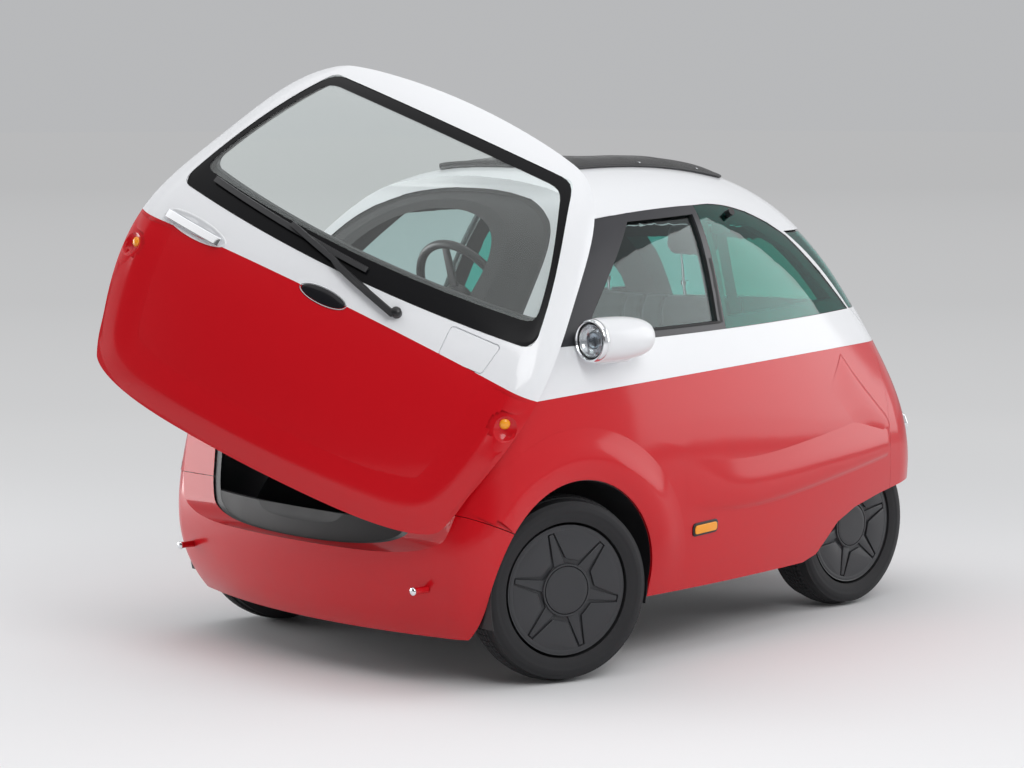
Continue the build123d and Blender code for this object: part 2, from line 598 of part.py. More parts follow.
MARKER_AT, MARKER_SIZE = (Y(-198), Z(384)), (112.0, 34.0)
PARTS["side_markers"] = on_sides(at(*MARKER_AT, RectangleRounded(*MARKER_SIZE, 12), 3), 5.0)
TAIL_LAMP_X, TAIL_LAMP_Z, TAIL_LAMP_R = X(372), Z(565), 44.0
PARTS["tail_lamps"] = on_tail(at(TAIL_LAMP_X, TAIL_LAMP_Z, Circle(TAIL_LAMP_R))
                              + at(-TAIL_LAMP_X, TAIL_LAMP_Z, Circle(TAIL_LAMP_R)), 24.0)
PLATE_SIZE = (520.0, 114.0)
PLATE_Y, PLATE_Z = Y(1192), Z(478)
PLATE_THICK = 3.0
plinth_half = PLATE_SIZE[0] / 2 + 4
plinth = block(-plinth_half, plinth_half, PLATE_Y - 30, PLATE_Y,
               PLATE_Z - PLATE_SIZE[1] / 2 - 4, PLATE_Z + PLATE_SIZE[1] / 2 + 4)
recess = block(-plinth_half, plinth_half, PLATE_Y, PLATE_Y + 100,
               PLATE_Z - PLATE_SIZE[1] / 2 - 4, PLATE_Z + PLATE_SIZE[1] / 2 + 4)
PARTS["rear_panel"] = PARTS["rear_panel"] + (plinth - body(WALL)) - recess
plate = extrude(Plane.XZ.offset(-PLATE_Y - PLATE_THICK - SEAM)
                * at(0, PLATE_Z, RectangleRounded(*PLATE_SIZE, 8)), PLATE_THICK)
PARTS["number_plate"] = plate

# ---- seats ----------------------------------------------------------------------------------
SEAT_HALF = X(500)
SEAT_FRONT, SEAT_REAR = Y(-60), BULKHEAD_Y - LINER - SEAM
FLOOR_TOP = SILL_Z + FLOOR
CUSHION_LOW, CUSHION_HIGH = Z(440), Z(570)
BOX = 12.0
seat_box = (block(-SEAT_HALF + 20, SEAT_HALF - 20, SEAT_FRONT + 20, SEAT_REAR,
                  FLOOR_TOP, CUSHION_LOW - SEAM)
            - block(-SEAT_HALF + 20 + BOX, SEAT_HALF - 20 - BOX, SEAT_FRONT + 20 + BOX,
                    SEAT_REAR - BOX, FLOOR_TOP - 1, CUSHION_LOW - SEAM - BOX))
PARTS["cabin_tub"] = PARTS["cabin_tub"] + seat_box
cushion = block(-SEAT_HALF, SEAT_HALF, SEAT_FRONT, SEAT_REAR - 30, CUSHION_LOW, CUSHION_HIGH)
PARTS["bench_cushion"] = fillet(cushion.edges(), 30)
back = [(Y(290), CUSHION_HIGH + SEAM), (Y(380), CUSHION_HIGH + SEAM), (Y(330), Z(1060)), (Y(245), Z(1060))]
BACK_HALF = X(430)
backrest = extrude(Plane.YZ.offset(-BACK_HALF) * polygon(back), 2 * BACK_HALF)
backrest = fillet(backrest.edges(), 26)
BACK_TOP = Z(1060)
REST_X, REST_Y, REST_Z = X(220), Y(262), Z(1198)
REST_SIZE = (220.0, 80.0, 116.0)
POST_SPREAD, POST_R = 50.0, 6.0
rest = Pos(REST_X, REST_Y, REST_Z) * Box(*REST_SIZE)
rest = fillet(rest.edges(), 32)
for x in (REST_X - POST_SPREAD, REST_X + POST_SPREAD):
    rest = rest + rod((x, REST_Y, REST_Z), (x, REST_Y + 20, BACK_TOP - 20), POST_R)
PARTS["bench_back"] = backrest + both(rest)
BELT_Y, BELT_WIDE, BELT_THICK = Y(182), 46.0, 4.0
BELT_TOP, BELT_LOW = Vector(X(405), BELT_Y, Z(1250)), Vector(X(555), BELT_Y, Z(640))
ANCHOR_R = 18.0
WALL_CLEAR = 4.0       # flat ends of the anchors to the curved lining


def anchor(start, lift):
    """A round anchor from the strap out to the lining, lift being its slope upwards."""
    out = Vector(1, 0, lift).normalized()
    line = inner_wall & rod(start, start + out * (WIDTH / 2), 0.5)
    run = (line.bounding_box().max.X - start.X) / out.X - WALL_CLEAR
    return rod(start - out * BELT_THICK, start + out * run, ANCHOR_R)


half_thick = BELT_THICK / 2
strap = polygon([(BELT_TOP.X - half_thick, BELT_TOP.Z), (BELT_TOP.X + half_thick, BELT_TOP.Z),
                 (BELT_LOW.X + half_thick, BELT_LOW.Z), (BELT_LOW.X - half_thick, BELT_LOW.Z)])
strap = front_prism(strap, BELT_Y - BELT_WIDE / 2, BELT_Y + BELT_WIDE / 2)
PARTS["seat_belts"] = both(strap + anchor(BELT_TOP, 0.5) + anchor(BELT_LOW, 0.05))

# ---- battery and motor ------------------------------------------------------------------------
BATTERY_HIGH = 150.0
battery = block(-X(380), X(380), SEAT_FRONT + 60, SEAT_REAR - 40,
                FLOOR_TOP + SEAM, FLOOR_TOP + BATTERY_HIGH)
MOTOR_HALF = 130.0
motor = block(-MOTOR_HALF, MOTOR_HALF, REAR_Y - 120, REAR_Y + 120, Z(175), Z(420))
PARTS["drive_blocks"] = battery + motor

# ---- steering ---------------------------------------------------------------------------------
WHEEL_AT = Vector(X(145), Y(-640), Z(1056))
WHEEL_TILT = 27.0
GRIP_R, HANDWHEEL_R = 13.0, 178.0
spin = Vector(0, math.cos(math.radians(WHEEL_TILT)), math.sin(math.radians(WHEEL_TILT)))
wheel_plane = Plane(origin=WHEEL_AT, x_dir=(1, 0, 0), z_dir=spin)
HUB_DROP = 30.0
SHAFT_R, SHAFT_RUN = 10.0, 0.05
SPOKE_REACH = 0.97
hub_at = WHEEL_AT - spin * HUB_DROP
handwheel = wheel_plane * Torus(HANDWHEEL_R, GRIP_R)
for angle in (15, 165, 270):
    rim_point = wheel_plane.from_local_coords(
        (HANDWHEEL_R * math.cos(math.radians(angle)), HANDWHEEL_R * math.sin(math.radians(angle)), 0))
    handwheel = handwheel + rod(hub_at, hub_at + (rim_point - hub_at) * SPOKE_REACH, 8)
handwheel = handwheel + rod(hub_at - spin * 22, hub_at + spin * 14, 46)
column_end = hub_at - spin * 27.5
shaft_hole = rod(hub_at - spin * 40, hub_at + spin * 4, SHAFT_R + SHAFT_RUN)
PARTS["steering_wheel"] = handwheel - shaft_hole
COLUMN_FOOT = Vector(X(145), Y(-880), FLOOR_TOP + 60)
KNEE = column_end - spin * 170
column = rod(column_end, KNEE, 32) + Pos(*KNEE) * Sphere(32) + rod(KNEE, COLUMN_FOOT, 24)
column = column + rod(column_end - spin, hub_at + spin * 3.5, SHAFT_R)
column = column + block(X(145) - 60, X(145) + 60, Y(-940), Y(-830), FLOOR_TOP, FLOOR_TOP + 75)
PEDALS_X = (-20, 290)
pedals = Part() + [
    (rod((X(px), Y(-985), FLOOR_TOP), (X(px), Y(-930), FLOOR_TOP + 120), 8)
     & block(-BIG, BIG, -BIG, BIG, FLOOR_TOP + SEAM, BIG))
    + Pos(X(px), Y(-925), FLOOR_TOP + 125) * Rot(-25, 0, 0) * Box(60, 12, 80)
    for px in PEDALS_X]
PARTS["column_and_pedals"] = column + pedals

# ---- wheels -----------------------------------------------------------------------------------
COVER = TYRE_WIDTH / 2 - COVER_SINK      # cover's plane from the tyre's middle
with BuildSketch(Plane.XZ) as tyre_half:
    with BuildLine():
        w = TYRE_WIDTH / 2
        bead, belly, top = RIM_RADIUS + SEAM, RIM_RADIUS + 34, TYRE_RADIUS
        ThreePointArc((w - 12, bead), (w, belly), (w - 9, top - 13))
        ThreePointArc((w - 9, top - 13), (w - 13, top - 5), (w - 21, top - 2))
        ThreePointArc((w - 21, top - 2), (0, top), (21 - w, top - 2))
        ThreePointArc((21 - w, top - 2), (13 - w, top - 5), (9 - w, top - 13))
        ThreePointArc((9 - w, top - 13), (-w, belly), (12 - w, bead))
        Line((12 - w, bead), (w - 12, bead))
    make_face()
tyre = revolve(tyre_half.sketch, Axis.X)
RIM_WALL, RIM_HALF = 6.0, 60.0
HUB_R, AXLE_R, AXLE_RUN = 34.0, 15.0, 0.05
CAP_R, CAP_HIGH = 68.0, 5.0
HUB_IN = 4.0           # hub's inner face from the tyre's middle
AXLE_TIP = 22.0
barrel = cyl_x(RIM_RADIUS, -RIM_HALF, RIM_HALF, 0, 0) - cyl_x(RIM_RADIUS - RIM_WALL, -BIG, COVER - 14, 0, 0)
cover = cyl_x(RIM_RADIUS - 2, COVER - 14, COVER, 0, 0)
hub = cyl_x(HUB_R, HUB_IN, COVER - 14, 0, 0)
cap_disc = cyl_x(CAP_R, COVER, COVER + CAP_HIGH, 0, 0)
SPOKES = 6
SPOKE_WIDE, SPOKE_HIGH = 26.0, 5.0
spokes = Part() + [Rot(60 * k + 15, 0, 0) * block(COVER - 1, COVER + SPOKE_HIGH - 1, -SPOKE_WIDE / 2,
                                             SPOKE_WIDE / 2, CAP_R + 4, RIM_RADIUS - 14)
                   for k in range(SPOKES)]
dish = cyl_x(RIM_RADIUS - 14, COVER - 4, COVER + 1, 0, 0) - cyl_x(CAP_R + 10, COVER - 5, COVER + 2, 0, 0)
rim = barrel + cover + hub - dish + cap_disc + spokes
rim = rim - cyl_x(AXLE_R + AXLE_RUN, HUB_IN - 1, AXLE_TIP + 3, 0, 0)

front_mid = WHEEL_OFFSET - COVER          # wheel's middle from its kingpin
steered, turned_round = Rot(0, 0, -STEER_AT_REST), Rot(0, 0, 180 - STEER_AT_REST)
PLACES = {
    "front_left": Pos(KINGPIN_X, FRONT_Y, TYRE_RADIUS) * steered * Pos(front_mid, 0, 0),
    "front_right": Pos(-KINGPIN_X, FRONT_Y, TYRE_RADIUS) * turned_round * Pos(front_mid, 0, 0),
    "rear_left": Pos(REAR_COVER_X - COVER, REAR_Y, TYRE_RADIUS),
    "rear_right": Pos(COVER - REAR_COVER_X, REAR_Y, TYRE_RADIUS) * Rot(0, 0, 180),
}
for name, place in PLACES.items():
    PARTS[name + "_tyre"] = place * tyre
    PARTS[name + "_wheel"] = place * rim

# ---- knuckles and suspension --------------------------------------------------------------------
JOINT_HIGH = 88.0      # ball joints above and below the wheel's centre
UPRIGHT_R = 20.0
upright = rod((0, 0, -JOINT_HIGH + 14), (0, 0, JOINT_HIGH - 14), UPRIGHT_R)
axle = cyl_x(AXLE_R, 0, front_mid + AXLE_TIP, 0, 0)
flange = cyl_x(60, front_mid + HUB_IN - 16, front_mid + HUB_IN - 5, 0, 0)
balls = rod((0, 0, JOINT_HIGH - 20), (0, 0, JOINT_HIGH + 12), 8) + rod(
    (0, 0, -JOINT_HIGH - 12), (0, 0, -JOINT_HIGH + 20), 8)
steer_arm = rod((0, 0, -40), (-30, 90, -40), 9)
knuckle = upright + axle + flange + balls + steer_arm
for name, side, turn in (("knuckle_left", 1, 0), ("knuckle_right", -1, 180)):
    PARTS[name] = Pos(side * KINGPIN_X, FRONT_Y, TYRE_RADIUS) * Rot(0, 0, turn - STEER_AT_REST) * knuckle

POST_X, POST_WIDE = WELL_INNER_X + 2.0, 20.0
ARM_IN_X = POST_X + POST_WIDE / 2
ARM_SPREAD = 70.0
CROSS_LOW = Z(150)
eye = Cylinder(17, 20) - Cylinder(8.05, 40)
arms = Part()
for z in (TYRE_RADIUS - JOINT_HIGH, TYRE_RADIUS + JOINT_HIGH):
    arms = arms + Pos(KINGPIN_X, FRONT_Y, z) * eye
    for dy in (-ARM_SPREAD, ARM_SPREAD):
        leg = rod((ARM_IN_X, FRONT_Y + dy, z), (KINGPIN_X - 6, FRONT_Y, z), 9)
        arms = arms + (leg - Pos(KINGPIN_X, FRONT_Y, z) * Cylinder(12, 60))
STRUT_X = X(465)
strut = rod((STRUT_X, FRONT_Y, TYRE_RADIUS - JOINT_HIGH), (STRUT_X, FRONT_Y, TYRE_RADIUS + 190), 20)
tower = rod((STRUT_X, FRONT_Y, TYRE_RADIUS + 190), (STRUT_X, FRONT_Y, TUNNEL_Z + ARCH_RADIUS), 34)
tower = tower & cyl_x(ARCH_RADIUS - SEAM, 0, BIG, ARCH_Y, TUNNEL_Z)
cross_y = ARM_SPREAD + 20
cross = block(-ARM_IN_X, ARM_IN_X, FRONT_Y - cross_y, FRONT_Y + cross_y, CROSS_LOW, SILL_Z - SEAM)
post = block(POST_X, POST_X + POST_WIDE, FRONT_Y - cross_y, FRONT_Y + cross_y,
             CROSS_LOW, TYRE_RADIUS + JOINT_HIGH + 12)
bridge = rod((ARM_IN_X, FRONT_Y, TYRE_RADIUS - JOINT_HIGH), (STRUT_X, FRONT_Y, TYRE_RADIUS - JOINT_HIGH), 12)
PARTS["front_suspension"] = both(arms + strut + tower + bridge + post) + cross

HUB_FACE = REAR_COVER_X - COVER + HUB_IN
TRAIL_X = REAR_COVER_X - COVER - TYRE_WIDTH / 2 - 42
TRAIL_R = 22.0
rear_axle = cyl_x(AXLE_R, TRAIL_X, REAR_COVER_X - COVER + AXLE_TIP, REAR_Y, TYRE_RADIUS)
carrier = cyl_x(46, TRAIL_X, HUB_FACE - 5, REAR_Y, TYRE_RADIUS)
trail = rod((TRAIL_X, REAR_Y, TYRE_RADIUS), (TRAIL_X, BULKHEAD_Y + 40, Z(300)), TRAIL_R)
rear_strut = rod((TRAIL_X, REAR_Y, TYRE_RADIUS), (TRAIL_X, REAR_Y, TRUNK_Z - LINER - SEAM), 26)
beam = block(-TRAIL_X - 20, TRAIL_X + 20, BULKHEAD_Y + SEAM, BULKHEAD_Y + 60, Z(270), Z(340))
mount_arm = block(MOTOR_HALF, TRAIL_X, REAR_Y - 25, REAR_Y + 25, TYRE_RADIUS - 20, TYRE_RADIUS + 20)
PARTS["rear_suspension"] = both(rear_axle + carrier + trail + rear_strut + mount_arm) + beam

for name, piece in PARTS.items():
    export_step(piece, f"parts/{name}.step")
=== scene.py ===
import json
import math
import bpy
from mathutils import Matrix, Vector


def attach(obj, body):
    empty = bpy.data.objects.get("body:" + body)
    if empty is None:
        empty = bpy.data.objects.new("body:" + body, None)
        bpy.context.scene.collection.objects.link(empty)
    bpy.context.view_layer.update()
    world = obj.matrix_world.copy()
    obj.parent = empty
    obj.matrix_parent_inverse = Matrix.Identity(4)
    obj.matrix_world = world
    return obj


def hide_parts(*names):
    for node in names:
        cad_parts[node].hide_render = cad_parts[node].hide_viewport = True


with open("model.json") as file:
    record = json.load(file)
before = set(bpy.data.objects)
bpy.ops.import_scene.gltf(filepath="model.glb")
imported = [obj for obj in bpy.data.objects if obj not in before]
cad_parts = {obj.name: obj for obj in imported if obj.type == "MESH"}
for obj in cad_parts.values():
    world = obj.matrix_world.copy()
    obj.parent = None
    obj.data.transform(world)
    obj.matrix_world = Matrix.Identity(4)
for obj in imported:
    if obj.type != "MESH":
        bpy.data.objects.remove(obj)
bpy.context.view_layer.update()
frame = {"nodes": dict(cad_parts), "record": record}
nodes = frame["nodes"]

# Metres.  +Z up, the nose towards -Y, the car's left side +X.
STEER = math.radians(15.8)         # front wheels turned to the car's right at rest
KINGPIN_X, FRONT_Y, AXLE_Z = 0.606, -0.730, 0.265
REAR_X, REAR_Y = 0.4155, 0.752
FRONT_MID = 0.0205                 # kingpin to the wheel's middle
TYRE_RADIUS, TYRE_WIDTH = 0.265, 0.145
RIM_RADIUS = 0.184
COVER = 0.0625                     # wheel's middle to its cover's plane
DOOR_PIN = Vector((0.645, -0.731, 0.800))
DOOR_AXIS = Vector((0, 1, 1)).normalized()
DOOR_ANGLE = math.radians(33.1)
# places clear of the car to look at it from
AHEAD, BEHIND, BESIDE, OVERHEAD = -2, 3, 1.2, 2.0

# ---- camera -----------------------------------------------------------------------------------
CAMERA_AT = Vector((5.858, -5.852, 1.591))
CAMERA_TO = Vector((-0.160, -0.163, 0.742))
FOCAL_PIXELS, FRAME_WIDTH = 2622.84, 1024


def place_camera():
    """The camera at its place, aimed at a spot in the car's middle."""
    bpy.ops.object.camera_add(location=CAMERA_AT)
    camera = bpy.context.active_object
    camera.name = "studio_camera"
    camera.rotation_euler = (CAMERA_TO - CAMERA_AT).to_track_quat("-Z", "Y").to_euler()
    camera.data.sensor_width = 36
    camera.data.lens = FOCAL_PIXELS * 36 / FRAME_WIDTH
    bpy.context.scene.camera = camera
    bpy.context.scene.view_settings.view_transform = "Standard"


# ---- studio: floor, backdrop and lamps --------------------------------------------------------
def softbox(name, at, to, size, power):
    """A wide lamp aimed at a spot, itself unseen."""
    bpy.ops.object.light_add(type="AREA", location=at)
    lamp = bpy.context.active_object
    lamp.name = name
    lamp.rotation_euler = (Vector(to) - Vector(at)).to_track_quat("-Z", "Y").to_euler()
    lamp.data.shape = "RECTANGLE"
    lamp.data.size, lamp.data.size_y = size
    lamp.data.energy = power
    lamp.visible_camera = False
    return lamp


FLOOR_SIZE = 400
VIEW_RUN = Vector((CAMERA_TO.x - CAMERA_AT.x, CAMERA_TO.y - CAMERA_AT.y, 0)).normalized()
# metres behind the car along the view, and the floor's grey there: painted shade, darker further off in
# place of the lamps' own fall-off
FLOOR_PAINTED_FALLOFF = [(-3.0, 0.83), (-1.6, 0.81), (2.0, 0.70), (6.0, 0.61), (14.0, 0.545), (50.0, 0.49)]
FLOOR_CAST = (0.995, 1, 1.012)     # the greys' faint blue
SHADOWED, UNSHADOWED = 1.2, 5.5    # radii between which the floor stops taking shadows and glows to the camera in its painted grey
BACKDROP = (0.478, 0.483, 0.493)
AIR_COLOUR = (0.97, 0.98, 1.0)
DARK_SIDE = Vector((0.30, -0.93, 0.20))            # the studio's unlit end
DARK_FROM, DARK_TO = 0.35, 0.92    # cosines between which the air darkens towards it
AIR_BRIGHT, AIR_DARK = 0.56, 0.10


def node(tree, kind, inputs=None, **settings):
    """A shader node with its settings and the values of some of its inputs."""
    made = tree.nodes.new("ShaderNode" + kind)
    for label, value in settings.items():
        setattr(made, label, value)
    for label, value in (inputs or {}).items():
        made.inputs[label].default_value = value
    return made


def grey_ramp(tree, painted_falloff):
    """Greys over a run, each at its place."""
    ramp = node(tree, "ValToRGB")
    while len(ramp.color_ramp.elements) < len(painted_falloff):
        ramp.color_ramp.elements.new(0.5)
    start, end = painted_falloff[0][0], painted_falloff[-1][0]
    for element, (place, grey) in zip(ramp.color_ramp.elements, painted_falloff):
        element.position = (place - start) / (end - start)
        element.color = (*(grey * share for share in FLOOR_CAST), 1)
    return ramp


def seen_directly(tree):
    """One for rays from the camera, also through glass, and nought for all others."""
    rays = node(tree, "LightPath")
    either = node(tree, "Math", operation="MAXIMUM")
    tree.links.new(rays.outputs["Is Camera Ray"], either.inputs[0])
    tree.links.new(rays.outputs["Is Transmission Ray"], either.inputs[1])
    return either.outputs["Value"]


def build_floor():
    """A pale floor whose grey is painted shade, darker further behind the car, glowing to the camera
    away from the car and fading into the backdrop well behind it.
    """
    bpy.ops.mesh.primitive_plane_add(size=FLOOR_SIZE, location=(0, 0, 0))
    floor = bpy.context.active_object
    floor.name = "studio_floor"
    material = bpy.data.materials.new("studio_floor")
    material.use_nodes = True
    tree = material.node_tree
    link = tree.links.new
    shader = tree.nodes["Principled BSDF"]
    shader.inputs["Roughness"].default_value = 0.9
    shader.inputs["Specular IOR Level"].default_value = 0.1
    place = node(tree, "TexCoord")
    run = node(tree, "VectorMath", {1: VIEW_RUN}, operation="DOT_PRODUCT")
    along = node(tree, "MapRange", {"From Min": FLOOR_PAINTED_FALLOFF[0][0], "From Max": FLOOR_PAINTED_FALLOFF[-1][0]})
    # painted shade: the floor's grey falls off with distance behind the car, in place of the lamps' own
    # fall-off
    painted_falloff = grey_ramp(tree, FLOOR_PAINTED_FALLOFF)
    # painted glow: away from the car the floor shines to the camera in its painted grey
    painted_glow = node(tree, "Emission")
    far = node(tree, "MapRange", {"From Min": SHADOWED, "From Max": UNSHADOWED},
               interpolation_type="SMOOTHSTEP")
    middle = node(tree, "VectorMath", operation="LENGTH")
    seen = node(tree, "Math", operation="MULTIPLY")
    blend = node(tree, "MixShader")
    link(place.outputs["Object"], run.inputs[0])
    link(run.outputs["Value"], along.inputs["Value"])
    link(along.outputs["Result"], painted_falloff.inputs["Fac"])
    link(painted_falloff.outputs["Color"], shader.inputs["Base Color"])
    link(painted_falloff.outputs["Color"], painted_glow.inputs["Color"])
    link(place.outputs["Object"], middle.inputs[0])
    link(middle.outputs["Value"], far.inputs["Value"])
    link(far.outputs["Result"], seen.inputs[0])
    link(seen_directly(tree), seen.inputs[1])
    link(seen.outputs["Value"], blend.inputs["Fac"])
    link(shader.outputs["BSDF"], blend.inputs[1])
    link(painted_glow.outputs["Emission"], blend.inputs[2])
    link(blend.outputs["Shader"], tree.nodes["Material Output"].inputs["Surface"])
    floor.data.materials.append(material)


def build_air():
    """Even grey all round, dark only at the unlit end; the backdrop's grey to the camera."""
    world = bpy.data.worlds.new("studio_air")
    bpy.context.scene.world = world
    world.use_nodes = True
    tree = world.node_tree
    link = tree.links.new
    sky = tree.nodes["Background"]
    sky.inputs["Color"].default_value = (*AIR_COLOUR, 1)
    seen = node(tree, "Background", {"Color": (*BACKDROP, 1)})
    place = node(tree, "TexCoord")
    facing = node(tree, "VectorMath", {1: DARK_SIDE.normalized()}, operation="DOT_PRODUCT")
    shade = node(tree, "MapRange", {"From Min": DARK_FROM, "From Max": DARK_TO,
                                    "To Min": AIR_BRIGHT, "To Max": AIR_DARK},
                 interpolation_type="SMOOTHSTEP")
    blend = node(tree, "MixShader")
    link(place.outputs["Generated"], facing.inputs[0])
    link(facing.outputs["Value"], shade.inputs["Value"])
    link(shade.outputs["Result"], sky.inputs["Strength"])
    link(seen_directly(tree), blend.inputs["Fac"])
    link(sky.outputs["Background"], blend.inputs[1])
    link(seen.outputs["Background"], blend.inputs[2])
    link(blend.outputs["Shader"], tree.nodes["World Output"].inputs["Surface"])


def build_studio():
    """Floor, air, a wide lamp overhead and one each at the tail, the far side and the near side."""
    build_floor()
    build_air()
    softbox("top_softbox", (0, -1.2, 6.5), (0, 0, 0), (9.0, 10.0), 230)
    softbox("tail_softbox", (3.6, 6.4, 2.7), (0.5, 0, 0.9), (5.4, 5.0), 150)
    softbox("far_softbox", (-6.0, -3.2, 1.4), (-0.2, -0.9, 0.6), (4.2, 3.0), 200)
    softbox("near_softbox", (5.6, -2.4, 4.8), (0, -0.5, 0.5), (3.0, 3.0), 150)


# ---- effects shared by several materials ------------------------------------------------------
def new_group(name, inputs, outputs):
    """A shader node group; inputs and outputs are (name, socket type, default) rows."""
    group = bpy.data.node_groups.new(name, "ShaderNodeTree")
    for label, kind, value in inputs:
        socket = group.interface.new_socket(label, in_out="INPUT", socket_type="NodeSocket" + kind)
        if value is not None:
            socket.default_value = value
    for label, kind in outputs:
        group.interface.new_socket(label, in_out="OUTPUT", socket_type="NodeSocket" + kind)
    way_in = group.nodes.new("NodeGroupInput")
    way_out = group.nodes.new("NodeGroupOutput")
    return group, way_in, way_out


def build_mottle():
    """Slow, faint variation of a colour and of its gloss."""
    group, way_in, way_out = new_group(
        "mottle",
        [("Color", "Color", (0.5, 0.5, 0.5, 1)), ("Scale", "Float", 8.0), ("Amount", "Float", 0.05),
         ("Roughness", "Float", 0.3), ("Spread", "Float", 0.05)],
        [("Color", "Color"), ("Roughness", "Float")])
    place = node(group, "TexCoord")
    noise = node(group, "TexNoise", {"Detail": 4.0})
    centred = node(group, "Math", {1: 0.5}, operation="SUBTRACT")
    shift = node(group, "Math", {2: 1.0}, operation="MULTIPLY_ADD")
    tint = node(group, "VectorMath", operation="SCALE")
    gloss = node(group, "Math", operation="MULTIPLY_ADD")
    link = group.links.new
    link(place.outputs["Object"], noise.inputs["Vector"])
    link(way_in.outputs["Scale"], noise.inputs["Scale"])
    link(noise.outputs["Fac"], centred.inputs[0])
    link(centred.outputs["Value"], shift.inputs[0])
    link(way_in.outputs["Amount"], shift.inputs[1])
    link(way_in.outputs["Color"], tint.inputs[0])
    link(shift.outputs["Value"], tint.inputs["Scale"])
    link(centred.outputs["Value"], gloss.inputs[0])
    link(way_in.outputs["Spread"], gloss.inputs[1])
    link(way_in.outputs["Roughness"], gloss.inputs[2])
    link(tint.outputs["Vector"], way_out.inputs["Color"])
    link(gloss.outputs["Value"], way_out.inputs["Roughness"])
    return group


def build_grain():
    """The fine pebbled grain of moulded plastic and rubber, as a height."""
    group, way_in, way_out = new_group(
        "moulded_grain", [("Scale", "Float", 900.0)], [("Height", "Float")])
    place = node(group, "TexCoord")
    cells = node(group, "TexVoronoi", feature="SMOOTH_F1")
    link = group.links.new
    link(place.outputs["Object"], cells.inputs["Vector"])
    link(way_in.outputs["Scale"], cells.inputs["Scale"])
    link(cells.outputs["Distance"], way_out.inputs["Height"])
    return group


def build_weave():
    """Threads crossing threads: a height and a mask of the deep places between them."""
    group, way_in, way_out = new_group(
        "weave", [("Scale", "Float", 300.0), ("Turn", "Vector", (0.0, 0.0, 0.0))],
        [("Height", "Float"), ("Gaps", "Float")])
    place = node(group, "TexCoord")
    turn = node(group, "Mapping")
    link = group.links.new
    link(place.outputs["Object"], turn.inputs["Vector"])
    link(way_in.outputs["Turn"], turn.inputs["Rotation"])
    waves = []
    for axis in ("X", "Y", "Z"):
        wave = node(group, "TexWave", {"Distortion": 0.4}, bands_direction=axis, wave_profile="SIN")
        link(turn.outputs["Vector"], wave.inputs["Vector"])
        link(way_in.outputs["Scale"], wave.inputs["Scale"])
        waves.append(wave)
    first = node(group, "Math", operation="MULTIPLY")
    second = node(group, "Math", operation="MAXIMUM")
    gaps = node(group, "Math", {0: 1.0}, operation="SUBTRACT")
    link(waves[0].outputs["Fac"], first.inputs[0])
    link(waves[1].outputs["Fac"], first.inputs[1])
    link(first.outputs["Value"], second.inputs[0])
    link(waves[2].outputs["Fac"], second.inputs[1])
    link(second.outputs["Value"], gaps.inputs[1])
    link(second.outputs["Value"], way_out.inputs["Height"])
    link(gaps.outputs["Value"], way_out.inputs["Gaps"])
    return group


MOTTLE = build_mottle()
GRAIN = build_grain()
WEAVE = build_weave()

# ---- materials --------------------------------------------------------------------------------
MATERIALS = {}


def blank(name):
    """A new material with its node tree and its shader."""
    material = bpy.data.materials.new(name)
    material.use_nodes = True
    MATERIALS[name] = material
    return material, material.node_tree, material.node_tree.nodes["Principled BSDF"]


def varied(tree, shader, colour, scale, amount, roughness, spread):
    """Colour and roughness through the mottle group."""
    effect = node(tree, "Group", {"Color": (*colour, 1), "Scale": scale, "Amount": amount,
                                  "Roughness": roughness, "Spread": spread}, node_tree=MOTTLE)
    tree.links.new(effect.outputs["Color"], shader.inputs["Base Color"])
    tree.links.new(effect.outputs["Roughness"], shader.inputs["Roughness"])


def bumped(tree, shader, group, scale, distance, strength):
    """A bump from a shared height group."""
    effect = node(tree, "Group", {"Scale": scale}, node_tree=group)
    bump = node(tree, "Bump", {"Distance": distance, "Strength": strength})
    tree.links.new(effect.outputs["Height"], bump.inputs["Height"])
    tree.links.new(bump.outputs["Normal"], shader.inputs["Normal"])


def paint(name, colour, depth):
    """Gloss body paint under a clear coat."""
    _, tree, shader = blank(name)
    varied(tree, shader, colour, 3.0, depth, 0.32, 0.05)
    shader.inputs["Coat Weight"].default_value = 0.62
    shader.inputs["Coat Roughness"].default_value = 0.09
    shader.inputs["Specular IOR Level"].default_value = 0.12


def plastic(name, colour, roughness, grain, distance, gloss=0.5):
    """Moulded plastic or rubber with a grain of a given scale."""
    _, tree, shader = blank(name)
    shader.inputs["Specular IOR Level"].default_value = gloss
    varied(tree, shader, colour, 14.0, 0.12, roughness, 0.10)
    bumped(tree, shader, GRAIN, grain, distance, 0.5)


def metal(name, colour, roughness, spread):
    """Bare metal, its gloss uneven by a given spread."""
    _, tree, shader = blank(name)
    varied(tree, shader, colour, 25.0, 0.06, roughness, spread)
    shader.inputs["Metallic"].default_value = 1.0


def cloth(name, colour, threads, sheen, distance=0.0006):
    """Woven cloth with a soft sheen."""
    _, tree, shader = blank(name)
    varied(tree, shader, colour, 6.0, 0.25, 0.85, 0.10)
    bumped(tree, shader, WEAVE, threads, distance, 0.7)
    shader.inputs["Sheen Weight"].default_value = sheen
    shader.inputs["Sheen Roughness"].default_value = 0.4


